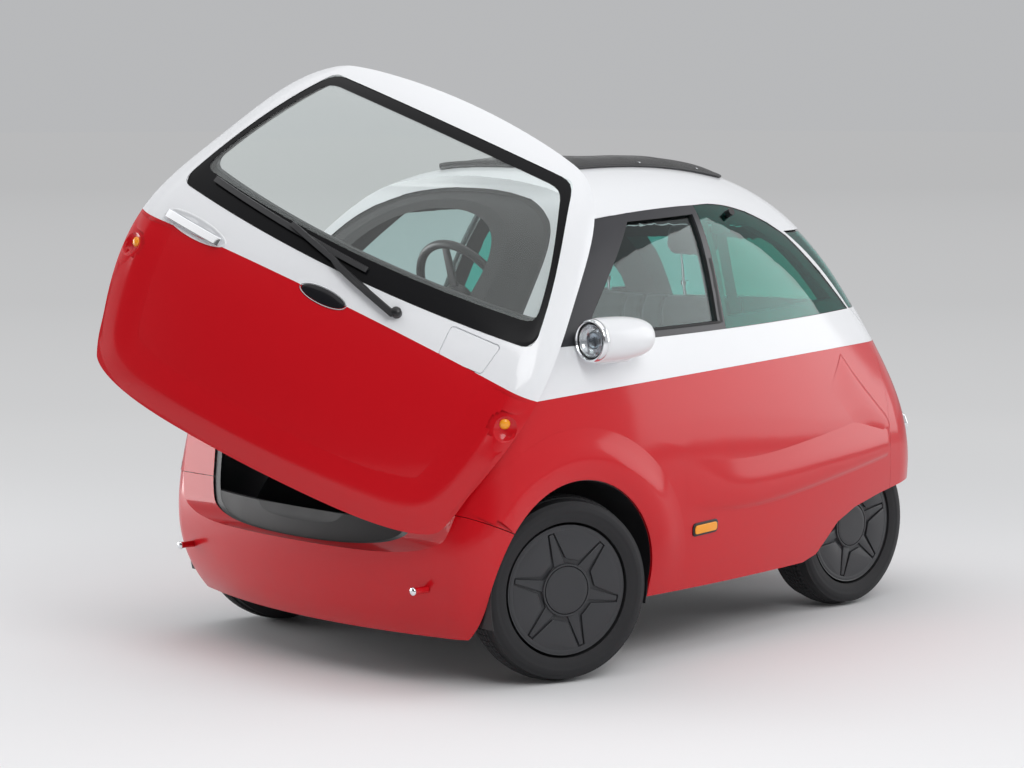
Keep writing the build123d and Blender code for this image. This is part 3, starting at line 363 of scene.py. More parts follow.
def glass(name, colour, gloss=0.5):
    """Clear through, its tint a little uneven."""
    _, tree, shader = blank(name)
    shader.inputs["Transmission Weight"].default_value = 1.0
    shader.inputs["Roughness"].default_value = 0.0
    shader.inputs["IOR"].default_value = 1.45
    shader.inputs["Specular IOR Level"].default_value = gloss
    place = node(tree, "TexCoord")
    noise = node(tree, "TexNoise", {"Scale": 2.5})
    paler = (*colour, 1)
    deeper = (*(0.97 * part for part in colour), 1)
    tint = node(tree, "Mix", {"A": paler, "B": deeper}, data_type="RGBA")
    tree.links.new(place.outputs["Object"], noise.inputs["Vector"])
    tree.links.new(noise.outputs["Fac"], tint.inputs["Factor"])
    tree.links.new(tint.outputs["Result"], shader.inputs["Base Color"])
    return tree, shader, tint.outputs["Result"]


# the slanting line between sliding pane and quarter glass, as a direction and two places along it
PANE_WAY, PANE_STEP = Vector((0, 1, -0.173)), (-0.220, -0.216)


def side_tint(name, front, rear):
    """Clear in the sliding pane and tinted in the quarter glass behind it."""
    tree, shader, uneven = glass(name, front)
    place = node(tree, "TexCoord")
    along = node(tree, "VectorMath", {1: PANE_WAY}, operation="DOT_PRODUCT")
    step = node(tree, "MapRange", {"From Min": PANE_STEP[0], "From Max": PANE_STEP[1]})
    pair = node(tree, "Mix", {"B": (*rear, 1)}, data_type="RGBA")
    tree.links.new(place.outputs["Object"], along.inputs[0])
    tree.links.new(along.outputs["Value"], step.inputs["Value"])
    tree.links.new(step.outputs["Result"], pair.inputs["Factor"])
    tree.links.new(uneven, pair.inputs["A"])
    tree.links.new(pair.outputs["Result"], shader.inputs["Base Color"])


def build_materials():
    """Every finish: colour, roughness and grain."""
    paint("red_paint", (0.56, 0.004, 0.010), 0.05)
    paint("white_paint", (0.80, 0.81, 0.83), 0.02)
    paint("gloss_black", (0.008, 0.008, 0.010), 0.2)
    plastic("black_trim", (0.013, 0.013, 0.015), 0.36, 300, 0.00003)
    plastic("window_trim", (0.030, 0.030, 0.035), 0.30, 60, 0.00003)
    plastic("screen_black", (0.004, 0.004, 0.005), 0.22, 60, 0.00002, 0.12)
    plastic("wheel_cover", (0.031, 0.032, 0.036), 0.42, 900, 0.0002)
    plastic("seal_rubber", (0.012, 0.012, 0.013), 0.6, 500, 0.0003)
    plastic("tyre", (0.013, 0.013, 0.015), 0.74, 600, 0.0004)
    plastic("block_grey", (0.14, 0.14, 0.15), 0.6, 300, 0.0006)
    plastic("plate_white", (0.78, 0.78, 0.76), 0.35, 900, 0.0001)
    plastic("amber", (0.95, 0.36, 0.02), 0.12, 260, 0.0005)
    plastic("lamp_red", (0.55, 0.01, 0.02), 0.12, 260, 0.0005)
    metal("chrome", (0.83, 0.84, 0.86), 0.05, 0.03)
    metal("mirror", (0.90, 0.91, 0.92), 0.015, 0.01)
    metal("steel", (0.30, 0.31, 0.32), 0.38, 0.2)
    plastic("frame_steel", (0.035, 0.036, 0.040), 0.42, 420, 0.0003)
    cloth("roof_fabric", (0.012, 0.012, 0.013), 520, 0.25, 0.0004)
    cloth("seat_cover", (0.045, 0.046, 0.050), 300, 0.5)
    cloth("belt_webbing", (0.012, 0.012, 0.013), 420, 0.3)
    glass("clear_glass", (0.92, 0.98, 0.965), 0.14)
    side_tint("side_tint", (0.62, 0.82, 0.81), (0.05, 0.52, 0.43))
    glass("tinted_glass", (0.05, 0.52, 0.43))
    glass("lens_glass", (0.96, 0.98, 0.98))
    glass("bulb_glass", (0.80, 0.88, 0.95))
    metal("lamp_silver", (0.62, 0.63, 0.66), 0.16, 0.05)


OTHER_FINISH = {"window_frames": "window_trim", "side_glass": "side_tint"}


def dress_cad_nodes():
    """Each CAD node takes the material of its slot in the record, but for two with their own."""
    slots = {part["node"]: part["material_slot"] for part in frame["record"]["subparts"]}
    for name, solid in nodes.items():
        material = MATERIALS[OTHER_FINISH.get(name, slots[name])]
        solid.data.materials.clear()
        solid.data.materials.append(material)


# ---- modelling helpers ------------------------------------------------------------------------
def fresh():
    """Object mode, nothing selected."""
    if bpy.context.mode != "OBJECT":
        bpy.ops.object.mode_set(mode="OBJECT")
    bpy.ops.object.select_all(action="DESELECT")


def take(piece):
    """The piece alone selected and active."""
    fresh()
    piece.select_set(True)
    bpy.context.view_layer.objects.active = piece
    return piece


def added(name):
    """The primitive just added, named, with its place put into its mesh."""
    piece = bpy.context.active_object
    piece.name = name
    bpy.ops.object.transform_apply(location=True, rotation=True, scale=True)
    return piece


def cube(name, at, size, turn=(0, 0, 0)):
    fresh()
    bpy.ops.mesh.primitive_cube_add(size=1, location=at, rotation=turn, scale=size)
    return added(name)


def drum(name, at, radius, depth, sides=48, turn=(0, 0, 0), ends="NGON"):
    fresh()
    bpy.ops.mesh.primitive_cylinder_add(vertices=sides, radius=radius, depth=depth, location=at,
                                        rotation=turn, end_fill_type=ends)
    return added(name)


ALONG_X = (0, math.pi / 2, 0)
ALONG_Y = (math.pi / 2, 0, 0)


def choose(piece, test, kind="FACE"):
    """Edit mode, with just the faces, edges or corners that pass the test selected."""
    take(piece)
    bpy.ops.object.mode_set(mode="EDIT")
    bpy.ops.mesh.select_mode(type=kind)
    bpy.ops.mesh.select_all(action="DESELECT")
    bpy.ops.object.mode_set(mode="OBJECT")
    mesh = piece.data
    if kind == "FACE":
        for face in mesh.polygons:
            face.select = test(face.center, face.normal)
    elif kind == "EDGE":
        for edge in mesh.edges:
            a, b = (mesh.vertices[i].co for i in edge.vertices)
            edge.select = test((a + b) / 2, (b - a).normalized())
    else:
        for corner in mesh.vertices:
            corner.select = test(corner.co, corner.normal)
    bpy.ops.object.mode_set(mode="EDIT")


def everything(*_):
    return True


def nothing(*_):
    return False


def slice_off(piece, at, away):
    """Cuts the piece by a plane and drops what lies on the side that away points to."""
    choose(piece, everything)
    bpy.ops.mesh.bisect(plane_co=at, plane_no=away, clear_outer=True)
    fresh()


def capped(piece, side=0):
    """Open ends filled and faces turned outwards; given a side of x = 0, only the end there."""
    choose(piece, nothing, "EDGE")
    bpy.ops.mesh.select_non_manifold()
    bpy.ops.object.mode_set(mode="OBJECT")
    for edge in piece.data.edges:
        place = piece.data.vertices[edge.vertices[0]].co
        edge.select = edge.select and place.x * side >= 0
    bpy.ops.object.mode_set(mode="EDIT")
    bpy.ops.mesh.edge_face_add()
    bpy.ops.mesh.select_all(action="SELECT")
    bpy.ops.mesh.normals_make_consistent(inside=False)
    fresh()


def thickened(piece, thickness, offset):
    """A surface given a wall, inwards at offset -1 and to both sides at 0."""
    take(piece)
    wall = piece.modifiers.new("wall", "SOLIDIFY")
    wall.thickness, wall.offset = thickness, offset
    bpy.ops.object.modifier_apply(modifier=wall.name)


def refined(piece, levels):
    """Every face divided and its corners evened out, once for each level."""
    take(piece)
    finer = piece.modifiers.new("finer", "SUBSURF")
    finer.levels = finer.render_levels = levels
    bpy.ops.object.modifier_apply(modifier=finer.name)


def rounded(piece, width, segments=3, angle=30):
    """Edges sharper than an angle in degrees rounded off."""
    take(piece)
    bevel = piece.modifiers.new("round", "BEVEL")
    bevel.width = width
    bevel.segments = segments
    bevel.limit_method = "ANGLE"
    bevel.angle_limit = math.radians(angle)
    bpy.ops.object.modifier_apply(modifier=bevel.name)


def joined(name, pieces):
    """The pieces as one, under a new name."""
    fresh()
    for piece in pieces:
        piece.select_set(True)
    bpy.context.view_layer.objects.active = pieces[0]
    bpy.ops.object.join()
    whole = bpy.context.active_object
    whole.name = name
    return whole


def closed_up(piece, distance=0.0001):
    """Doubles merged and faces turned outwards."""
    choose(piece, everything)
    bpy.ops.mesh.remove_doubles(threshold=distance)
    bpy.ops.mesh.normals_make_consistent(inside=False)
    fresh()


def smooth(piece, angle=35):
    """Smooth shading across edges under an angle in degrees."""
    take(piece)
    bpy.ops.object.shade_smooth_by_angle(angle=math.radians(angle))
    fresh()


def placed_copy(piece, name, matrix):
    """A copy with its own mesh, moved by a matrix that goes into the mesh."""
    twin = piece.copy()
    twin.data = piece.data.copy()
    twin.name = name
    bpy.context.scene.collection.objects.link(twin)
    twin.data.transform(matrix)
    return twin


def gone(piece):
    bpy.data.objects.remove(piece)


def done(piece, material, body):
    """Material and body."""
    piece.data.materials.clear()
    piece.data.materials.append(MATERIALS[material])
    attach(piece, body)
    return piece


# ---- wheels -----------------------------------------------------------------------------------
# Modelled with the axle along X, the cover towards +X and the wheel's middle at the origin.
TREAD_DEEP, TREAD_HALF = 0.004, 0.062
SHOULDER_LOW, SHOULDER_HIGH = 0.222, 0.240         # a shallow ring on the sidewall
SECTION_SIDES, ROUND_STEPS = 36, 84
SQUARENESS = 0.62
SPOKES = 6
PLATE_RADIUS, COLLAR_IN, COLLAR_OUT = 0.1725, 0.1700, 0.1815
PLATE_DEEP = 0.006
PLATE_APOTHEM = 0.088              # wheel's middle to the inner side of a plate
CHANNEL_INNER, CHANNEL_OUTER = 0.0245, 0.0105      # half widths at the two radii below
CHANNEL_FROM, CHANNEL_TO = 0.088, 0.168


def model_tyre():
    """A squared-off ring spun round the axle, its crown raised into blocks."""
    fresh()
    middle = (TYRE_RADIUS - TREAD_DEEP + RIM_RADIUS) / 2
    bpy.ops.mesh.primitive_circle_add(vertices=SECTION_SIDES, radius=1, fill_type="NOTHING",
                                      rotation=ALONG_Y)
    tyre = added("tyre_pattern")
    cast = tyre.modifiers.new("square", "CAST")
    cast.cast_type = "CUBOID"
    cast.factor = SQUARENESS
    bpy.ops.object.modifier_apply(modifier=cast.name)
    high = max(corner.co.z for corner in tyre.data.vertices)
    wide = max(corner.co.x for corner in tyre.data.vertices)
    tall = (TYRE_RADIUS - TREAD_DEEP - RIM_RADIUS) / 2
    tyre.data.transform(Matrix.Diagonal((TYRE_WIDTH / 2 / wide, 1, tall / high, 1)))
    tyre.data.transform(Matrix.Translation((0, 0, middle)))
    choose(tyre, everything, "VERT")
    bpy.ops.mesh.spin(steps=ROUND_STEPS, angle=2 * math.pi, center=(0, 0, 0), axis=(1, 0, 0))
    fresh()
    closed_up(tyre)
    crown = TYRE_RADIUS - TREAD_DEEP - 0.006

    def on_crown(centre, normal):
        return math.hypot(centre.y, centre.z) > crown and abs(centre.x) < TREAD_HALF

    choose(tyre, on_crown)
    bpy.ops.mesh.inset(thickness=0.0016, depth=TREAD_DEEP, use_individual=True)
    fresh()

    def on_shoulder(centre, normal):
        reach = math.hypot(centre.y, centre.z)
        return abs(normal.x) > 0.6 and SHOULDER_LOW < reach < SHOULDER_HIGH

    choose(tyre, on_shoulder)
    bpy.ops.mesh.inset(thickness=0.0022, depth=0.0012, use_individual=False)
    fresh()
    smooth(tyre, 40)
    return tyre


def ray(angle):
    """Direction in the wheel's plane, from +Y towards +Z."""
    return Vector((0, math.cos(angle), math.sin(angle)))


def model_plate(middle):
    """One flat plate of the cover between two channels."""
    fresh()
    bpy.ops.mesh.primitive_circle_add(vertices=120, radius=PLATE_RADIUS, fill_type="NGON",
                                      location=(COVER - PLATE_DEEP, 0, 0), rotation=ALONG_X)
    plate = added("plate")
    slice_off(plate, ray(middle) * PLATE_APOTHEM, -ray(middle))
    half = math.pi / SPOKES
    taper = (CHANNEL_INNER - CHANNEL_OUTER) / (CHANNEL_TO - CHANNEL_FROM)
    for side in (-1, 1):
        spoke = middle + side * half
        along, inward = ray(spoke), ray(spoke - side * math.pi / 2)
        edge = (inward + along * taper).normalized()
        slice_off(plate, along * CHANNEL_FROM + inward * CHANNEL_INNER, -edge)
    choose(plate, everything)
    bpy.ops.mesh.extrude_region_move(TRANSFORM_OT_translate={"value": (PLATE_DEEP, 0, 0)})
    fresh()
    closed_up(plate)
    rounded(plate, 0.0024, 3)
    return plate


def model_spoke(angle):
    """A bar in its channel that narrows towards the rim and climbs to the plates' level."""
    inner, outer, wide, narrow = 0.072, 0.1665, 0.034, 0.0125
    bar = cube("spoke", (COVER - PLATE_DEEP, (inner + outer) / 2, 0), (0.008, outer - inner, wide))
    choose(bar, lambda centre, normal: normal.y > 0.5)
    bpy.ops.transform.resize(value=(1, 1, narrow / wide))
    bpy.ops.transform.translate(value=(0.0022, 0, 0))
    fresh()
    rounded(bar, 0.0024, 3)
    bar.data.transform(Matrix.Rotation(angle, 4, "X"))
    return bar


def model_cover(first_spoke):
    """Six plates, six bars in their channels, a collar and a round cap on a dished back."""
    step = 2 * math.pi / SPOKES
    parts = [model_plate(first_spoke + step * (k + 0.5)) for k in range(SPOKES)]
    parts += [model_spoke(first_spoke + step * k) for k in range(SPOKES)]
    ring = drum("ring", (COVER - 0.007, 0, 0), 0.086, 0.008, SPOKES, ALONG_X)
    ring.data.transform(Matrix.Rotation(first_spoke, 4, "X"))
    rounded(ring, 0.0026, 3)
    parts.append(ring)
    lip = drum("lip", (COVER - 0.004, 0, 0), 0.0745, 0.012, 72, ALONG_X)
    choose(lip, lambda centre, normal: normal.x > 0.9)
    bpy.ops.mesh.inset(thickness=0.0050, depth=0)
    bpy.ops.mesh.inset(thickness=0.0008, depth=-0.0045)
    bpy.ops.mesh.inset(thickness=0.0012, depth=0)
    bpy.ops.mesh.inset(thickness=0.0010, depth=0.0045)
    bpy.ops.mesh.inset(thickness=0.012, depth=0.0006)
    fresh()
    rounded(lip, 0.0008, 2, 40)
    parts.append(lip)
    collar = drum("collar", (COVER - 0.004, 0, 0), COLLAR_OUT, 0.0082, 96, ALONG_X)
    choose(collar, lambda centre, normal: normal.x > 0.9)
    bpy.ops.mesh.inset(thickness=COLLAR_OUT - COLLAR_IN, depth=0)
    bpy.ops.mesh.inset(thickness=0.0006, depth=-0.0078)
    fresh()
    rounded(collar, 0.0010, 2, 50)
    parts.append(collar)
    cover = joined("cover_pattern", parts)
    smooth(cover, 35)
    return cover


BARREL_WIDE, BARREL_WALL = 0.118, 0.004


def model_rim():
    """The barrel behind the cover with its flanges and hub."""
    barrel = drum("barrel", (0, 0, 0), RIM_RADIUS, BARREL_WIDE, 96, ALONG_X, "NOTHING")
    choose(barrel, lambda middle, run: abs(abs(middle.x) - BARREL_WIDE / 2) < 0.001, "EDGE")
    bpy.ops.mesh.extrude_edges_move(TRANSFORM_OT_translate={"value": (0, 0, 0)})
    bpy.ops.transform.resize(value=(1, 1.005, 1.005), center_override=(0, 0, 0))
    fresh()
    thickened(barrel, BARREL_WALL, -1)
    hub = drum("hub", (0.026, 0, 0), 0.034, 0.044, 48, ALONG_X)
    rounded(hub, 0.003)
    web = drum("web", (0.046, 0, 0), RIM_RADIUS - BARREL_WALL, 0.006, 96, ALONG_X)
    rim = joined("rim_pattern", [barrel, hub, web])
    smooth(rim, 35)
    return rim


FRONT_SPOKES, REAR_SPOKES = math.radians(-13), math.radians(16)


def wheel_places():
    """Body, CAD node stem, matrix and first spoke's angle for each wheel."""
    steered = Matrix.Rotation(-STEER, 4, "Z")
    half_turn = Matrix.Rotation(math.pi, 4, "Z")
    offset = Matrix.Translation((FRONT_MID, 0, 0))
    left = Matrix.Translation((KINGPIN_X, FRONT_Y, AXLE_Z)) @ steered @ offset
    right = Matrix.Translation((-KINGPIN_X, FRONT_Y, AXLE_Z)) @ steered @ half_turn @ offset
    rear_left = Matrix.Translation((REAR_X, REAR_Y, AXLE_Z))
    rear_right = Matrix.Translation((-REAR_X, REAR_Y, AXLE_Z)) @ half_turn
    return [("front_left", left, FRONT_SPOKES), ("front_right", right, FRONT_SPOKES),
            ("rear_left", rear_left, REAR_SPOKES), ("rear_right", rear_right, REAR_SPOKES)]


def build_wheels():
    """Four tyres, covers and rims from one pattern each, the covers turned to their angles."""
    tyre, rim = model_tyre(), model_rim()
    covers = {angle: model_cover(angle) for angle in (FRONT_SPOKES, REAR_SPOKES)}
    for stem, place, angle in wheel_places():
        body = stem + "_wheel"
        road_tyre = placed_copy(tyre, stem + "_tyre_tread", place)
        done(road_tyre, "tyre", body)
        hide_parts(stem + "_tyre")
        cover = placed_copy(covers[angle], stem + "_cover", place)
        done(cover, "wheel_cover", body)
        rim_copy = placed_copy(rim, stem + "_rim", place)
        done(rim_copy, "wheel_cover", body)
        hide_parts(stem + "_wheel")
    for pattern in [tyre, rim, *covers.values()]:
        gone(pattern)


# ---- headlamp pods ----------------------------------------------------------------------------
POD_AT = Vector((0.725, -0.692, 0.966))
FORWARD = Matrix.Rotation(math.pi / 2, 4, "X")      # a turned piece's +Z towards the nose

ON_POD = Matrix.Translation(POD_AT) @ FORWARD
FAIRING_AT, FAIRING_SIZE = Vector((-0.045, -0.045, -0.112)), (0.09, 0.06, 0.15)

# radius and height over the pod's front plane, millimetres
POD_SKIN = [(52, -3), (57, -3), (60.5, -6), (62.4, -14), (63.5, -34), (64.0, -62), (63.6, -92),
            (62.0, -122), (59.0, -150), (55.0, -174), (50.5, -191), (46.5, -202), (42.5, -209.5),
            (38.5, -213.2), (36.0, -213.8), (34.6, -212.0), (0, -211)]
LAMP_RING = [(50.0, -2), (50.6, 6), (51.6, 10.2), (53.8, 12.6), (56.2, 12.8), (58.6, 11.4),
             (60.6, 8.0), (61.8, 3.0), (62.0, -1.0), (61.0, -5.0), (50.0, -5.0), (50.0, -2)]
GAP_RING = [(50.6, 5.0), (48.0, 7.0), (46.4, 6.0), (46.0, -1.0), (50.6, -1.0), (50.6, 5.0)]
DISH = [(46.2, 3.5), (44.0, 4.4), (42.0, 3.0), (39.5, -2.5), (35.5, -7.5), (31.0, -10.5),
        (28.2, -11.5), (27.4, -9.0), (26.2, -7.0), (24.6, -6.6), (23.6, -8.0), (23.2, -12.0),
        (0, -12.0)]
BULB_LENS = [(23.4, -9.0), (21.5, -4.8), (18.2, -1.6), (13.5, 1.0), (7.5, 2.5), (0, 3.0)]
COVER_LENS = [(46.8, 5.5), (44.5, 8.4), (39.0, 11.0), (30.0, 13.6), (18.0, 15.6), (7.0, 16.4), (0, 16.5)]
MIRROR_BACK = [(34.6, -212.4), (33.8, -213.2), (0, -213.2)]


def turned(name, profile, sides=72):
    """A profile of radius and height in millimetres, drawn out ring by ring round +Z."""
    fresh()
    radius, height = profile[0]
    bpy.ops.mesh.primitive_circle_add(vertices=sides, radius=radius / 1000, fill_type="NOTHING",
                                      location=(0, 0, height / 1000))
    piece = added(name)
    choose(piece, everything, "VERT")
    for wide, high in profile[1:]:
        bpy.ops.mesh.extrude_edges_move(
            TRANSFORM_OT_translate={"value": (0, 0, (high - height) / 1000)})
        if wide == 0:
            bpy.ops.mesh.merge(type="CENTER")
            break
        ratio = wide / radius
        bpy.ops.transform.resize(value=(ratio, ratio, 1), center_override=(0, 0, high / 1000))
        radius, height = wide, high
    fresh()
    closed_up(piece, 0.00002)
    return piece


def mirrored_pair(piece, place):
    """The piece moved to the car's left by a matrix, and its twin to the right, as one."""
    flip = Matrix.Diagonal((-1, 1, 1, 1))
    twin = placed_copy(piece, piece.name + "_twin", flip @ place)
    piece.data.transform(place)
    choose(twin, everything)
    bpy.ops.mesh.flip_normals()
    fresh()
    return joined(piece.name, [piece, twin])


def lamp_pieces(name, profile, angle, sides=72):
    """A smooth turned piece on the left pod and its twin on the right one."""
    piece = turned(name, profile, sides)
    smooth(piece, angle)
    return mirrored_pair(piece, ON_POD)


def build_headlamps():
    """Pods on their fairings with rings, dishes, bulbs, glass covers and mirrors behind."""
    pod = turned("headlamp_pod_skins", POD_SKIN, 96)
    fairing = cube("pod_fairing", FAIRING_AT, FAIRING_SIZE)
    choose(fairing, lambda centre, normal: normal.x > 0.5)
    bpy.ops.transform.resize(value=(1, 0.8, 0.8), center_override=(0, *FAIRING_AT.yz))
    fresh()
    rounded(fairing, 0.022, 6)
    pod = joined("headlamp_pod_skins", [pod, fairing])
    smooth(pod, 50)
    pods = mirrored_pair(pod, ON_POD)
    done(pods, "white_paint", "car_body")
    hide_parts("headlamp_pods")
    rings = lamp_pieces("headlamp_rings", LAMP_RING, 40, 96)
    done(rings, "chrome", "car_body")
    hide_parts("headlamp_rims")
    for name, profile, material, slot in (
            ("headlamp_gap_rings", GAP_RING, "gloss_black", "gloss_black"),
            ("headlamp_dishes", DISH, "lamp_silver", "chrome"),
            ("headlamp_bulb_lenses", BULB_LENS, "bulb_glass", "clear_glass")):
        done(lamp_pieces(name, profile, 40), material, "car_body")
    lens = turned("headlamp_covers", COVER_LENS)
    smooth(lens, 60)
    thickened(lens, 0.002, -1)
    lens = mirrored_pair(lens, ON_POD)
    done(lens, "lens_glass", "car_body")
    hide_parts("headlamp_lenses")
    backs = lamp_pieces("mirror_faces", MIRROR_BACK, 40)
    done(backs, "mirror", "car_body")
    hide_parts("mirror_glasses")


# ---- door fittings, modelled on the closed door and opened with it ----------------------------
INTO_NOSE = Vector((0, 1, 0))
DOOR_OPEN = (Matrix.Translation(DOOR_PIN) @ Matrix.Rotation(DOOR_ANGLE, 4, DOOR_AXIS)
             @ Matrix.Translation(-DOOR_PIN))


def closed_door():
    """A joined copy of the door's outer panels, in the closed place, to fit pieces on."""
    copies = [placed_copy(nodes[name], "door_form_" + name, DOOR_OPEN.inverted())
              for name in ("door_lower", "door_upper", "screen_border", "windscreen")]
    form = joined("door_form", copies)
    closed_up(form, 0.00005)
    return form


def draped(piece, form, offset=0.0):
    """Every corner carried along Y onto the form's nose side, keeping its height over y = 0."""
    for corner in piece.data.vertices:
        for side in (0, 0.0012, -0.0012, 0.003):
            start = Vector((corner.co.x, AHEAD, corner.co.z + side))
            hit, at, _, _ = form.ray_cast(start, INTO_NOSE)
            if hit:
                corner.co.y += at.y + offset
                break
    return piece


def hung_on_door(piece, material, *replaced, slot=None):
    """The piece opened with the door, in its material, and the nodes that it replaces."""
    piece.data.transform(DOOR_OPEN)
    done(piece, material, "front_door")
    if replaced:
        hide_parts(*replaced)
    return piece


def oval(name, middle, wide, high, thick, sides):
    """An upright oval plate facing the nose."""
    plate = drum(name, middle, 0.5, thick, sides, ALONG_Y)
    plate.data.transform(Matrix.Translation(middle) @ Matrix.Diagonal((wide, 1, high, 1))
                         @ Matrix.Translation(-middle))
    return plate


HANDLE_MID, HANDLE_WIDE, HANDLE_HIGH = Vector((-0.455, 0, 0.8815)), 0.230, 0.036
GRIP_OUT, GRIP_SIZE = Vector((0, -0.012, 0.002)), (0.200, 0.012, 0.021)


def build_handle(form):
    """A grip bar over a shallow scoop."""
    scoop = oval("handle_scoop", HANDLE_MID, HANDLE_WIDE, HANDLE_HIGH * 1.5, 0.004, 64)
    choose(scoop, lambda centre, normal: normal.y < -0.9)
    bpy.ops.mesh.inset(thickness=0.004, depth=0)
    bpy.ops.mesh.inset(thickness=0.002, depth=-0.0015)
    fresh()
    rounded(scoop, 0.0012, 2, 50)
    smooth(scoop, 40)
    hung_on_door(draped(scoop, form), "white_paint")
    bar = cube("handle_grip", HANDLE_MID + GRIP_OUT, GRIP_SIZE)
    choose(bar, everything)
    bpy.ops.mesh.subdivide(number_cuts=9)
    fresh()
    rounded(bar, 0.0052, 4, 50)
    smooth(bar, 50)
    hung_on_door(draped(bar, form), "chrome", "door_handle")


BADGE_MID, BADGE_WIDE, BADGE_HIGH = Vector((0, 0, 0.880)), 0.150, 0.042


def build_badge(form):
    """A blank oval plate in a bright rim."""
    plate = oval("badge_plate", BADGE_MID, BADGE_WIDE * 0.94, BADGE_HIGH * 0.86, 0.004, 96)
    choose(plate, lambda centre, normal: normal.y < -0.9)
    bpy.ops.mesh.inset(thickness=0.003, depth=0.0008)
    fresh()
    smooth(plate, 40)
    hung_on_door(draped(plate, form), "gloss_black", "door_badge")
    rim = oval("badge_rim", BADGE_MID, BADGE_WIDE, BADGE_HIGH, 0.005, 96)
    choose(rim, lambda centre, normal: abs(normal.y) > 0.9)
    bpy.ops.mesh.delete(type="ONLY_FACE")
    fresh()
    thickened(rim, 0.0026, 0)
    rounded(rim, 0.0008, 2, 50)
    smooth(rim, 40)
    hung_on_door(draped(rim, form), "chrome")


WIPER_PIVOT, WIPER_JOINT = Vector((0.211, 0, 0.918)), Vector((-0.190, 0, 1.012))
BLADE_ENDS = Vector((-0.488, 0, 1.008)), Vector((0.076, 0, 0.985))
PIVOT_CAP = [(15, 0), (15, 14), (14, 19), (11, 22), (5, 23.5), (0, 24)]
BAR_CUTS = 16


def bar_between(name, start, end, height, wide, thick):
    """A bar in the front view from start to end, its middle a height out from the door."""
    along = end - start
    middle = (start + end) / 2
    turn = -math.atan2(along.z, along.x)
    bar = cube(name, (middle.x, -height, middle.z), (along.length, thick, wide), (0, turn, 0))
    choose(bar, everything)
    bpy.ops.mesh.subdivide(number_cuts=BAR_CUTS)
    fresh()
    return bar


def build_wiper(form):
    """Blade with its rubber, a tapered arm and a capped pivot."""
    rubber = bar_between("wiper_rubber", *BLADE_ENDS, 0.004, 0.0035, 0.007)
    hung_on_door(draped(rubber, form), "seal_rubber")
    spine = bar_between("wiper_blade", *BLADE_ENDS, 0.011, 0.013, 0.006)
    rounded(spine, 0.002, 2, 50)
    smooth(spine, 40)
    hung_on_door(draped(spine, form), "black_trim", "wiper")
    arm = bar_between("wiper_arm", WIPER_PIVOT, WIPER_JOINT, 0.021, 0.015, 0.008)
    choose(arm, lambda place, normal: place.x < -0.02, "VERT")
    bpy.ops.transform.resize(value=(1, 0.9, 0.8))
    fresh()
    rounded(arm, 0.0025, 2, 50)
    smooth(arm, 40)
    hung_on_door(draped(arm, form), "black_trim")
    cap = turned("wiper_pivot", PIVOT_CAP, 48)
    cap.data.transform(FORWARD)
    cap.data.transform(fitted_place(form, WIPER_PIVOT))
    smooth(cap, 40)
    hung_on_door(cap, "black_trim")


def fitted_place(form, spot):
    """A place on the form's nose side under a spot of the front view, turned to its slope."""
    _, at, normal, _ = form.ray_cast(Vector((spot.x, AHEAD, spot.z)), INTO_NOSE)
    slope = (-INTO_NOSE).rotation_difference(normal).to_matrix().to_4x4()
    return Matrix.Translation(at) @ slope


INDICATOR, INDICATOR_CLEAR = Vector((0.612, 0, 0.769)), 0.037
INDICATOR_BEZEL = [(20, -6), (22, -1.5), (21.4, 0.8), (19.0, 1.4), (17.2, 0.2), (16.6, -3),
                   (16.4, -8), (20, -6)]
INDICATOR_DOME = [(15.6, -7), (15.4, -1), (14.6, 3), (12.4, 6.2), (9.0, 8.2), (5.0, 9.3), (0, 9.8)]


def build_indicators(form):
    """Round amber domes in the dishes at the door's upper corners."""
    spot = fitted_place(form, INDICATOR)
    for name, profile, material, replaced in (
            ("indicator_bezels", INDICATOR_BEZEL, "chrome", []),
            ("indicator_domes", INDICATOR_DOME, "amber", ["door_lamps"])):
        part = turned(name, profile, 48)
        part.data.transform(FORWARD)
        smooth(part, 45)
        hung_on_door(mirrored_pair(part, spot), material, *replaced)


def build_door_fittings():
    """All that is fitted onto the door's own surface."""
    form = closed_door()
    build_handle(form)
    build_badge(form)
    build_wiper(form)
    build_indicators(form)
    build_door_edge(form)
    build_screen_band(form)
    gone(form)


# ---- swellings pressed into the painted panels ------------------------------------------------
LEFT = Vector((-1, 0, 0))          # looking in from the car's left
ON_PANEL = 0.0003                  # how far a swelling's own edge lies over the panel
FENDER_AT = (-0.734, 0.267)        # arch's middle, y and z
FENDER_FROM, FENDER_SWEEP = -14, 208               # degrees round the arch
FENDER_STEPS, FENDER_FADE = 90, 14                 # steps in all, and those that fade out at each end
# distance from the arch's middle and how far the swelling stands out there
FENDER_SWELL = [(0.3115, 0.0004), (0.316, 0.0016), (0.330, 0.0050), (0.350, 0.0085), (0.368, 0.0098),
                (0.384, 0.0094), (0.400, 0.0074), (0.418, 0.0044), (0.436, 0.0018), (0.456, 0.0004)]
# from the door's edge inwards
DOOR_SWELL = [(0.0015, 0.0003), (0.016, 0.0022), (0.032, 0.0044), (0.048, 0.0064), (0.060, 0.0077),
              (0.065, 0.0079), (0.072, 0.0077), (0.088, 0.0062), (0.108, 0.0036), (0.128, 0.0013),
              (0.146, 0.0003)]
# half the lower panel's outline, x and z in front view on the closed door, from the belt down
DOOR_OUTLINE = [(0.6585, 0.838), (0.6555, 0.800), (0.651, 0.759), (0.645, 0.695), (0.636, 0.631),
                (0.625, 0.578), (0.611, 0.528), (0.593, 0.489), (0.568, 0.456), (0.537, 0.431),
                (0.501, 0.415), (0.464, 0.403), (0.424, 0.3965), (0.330, 0.3935), (0.220, 0.3925),
                (0.110, 0.3920), (0.0, 0.3920)]
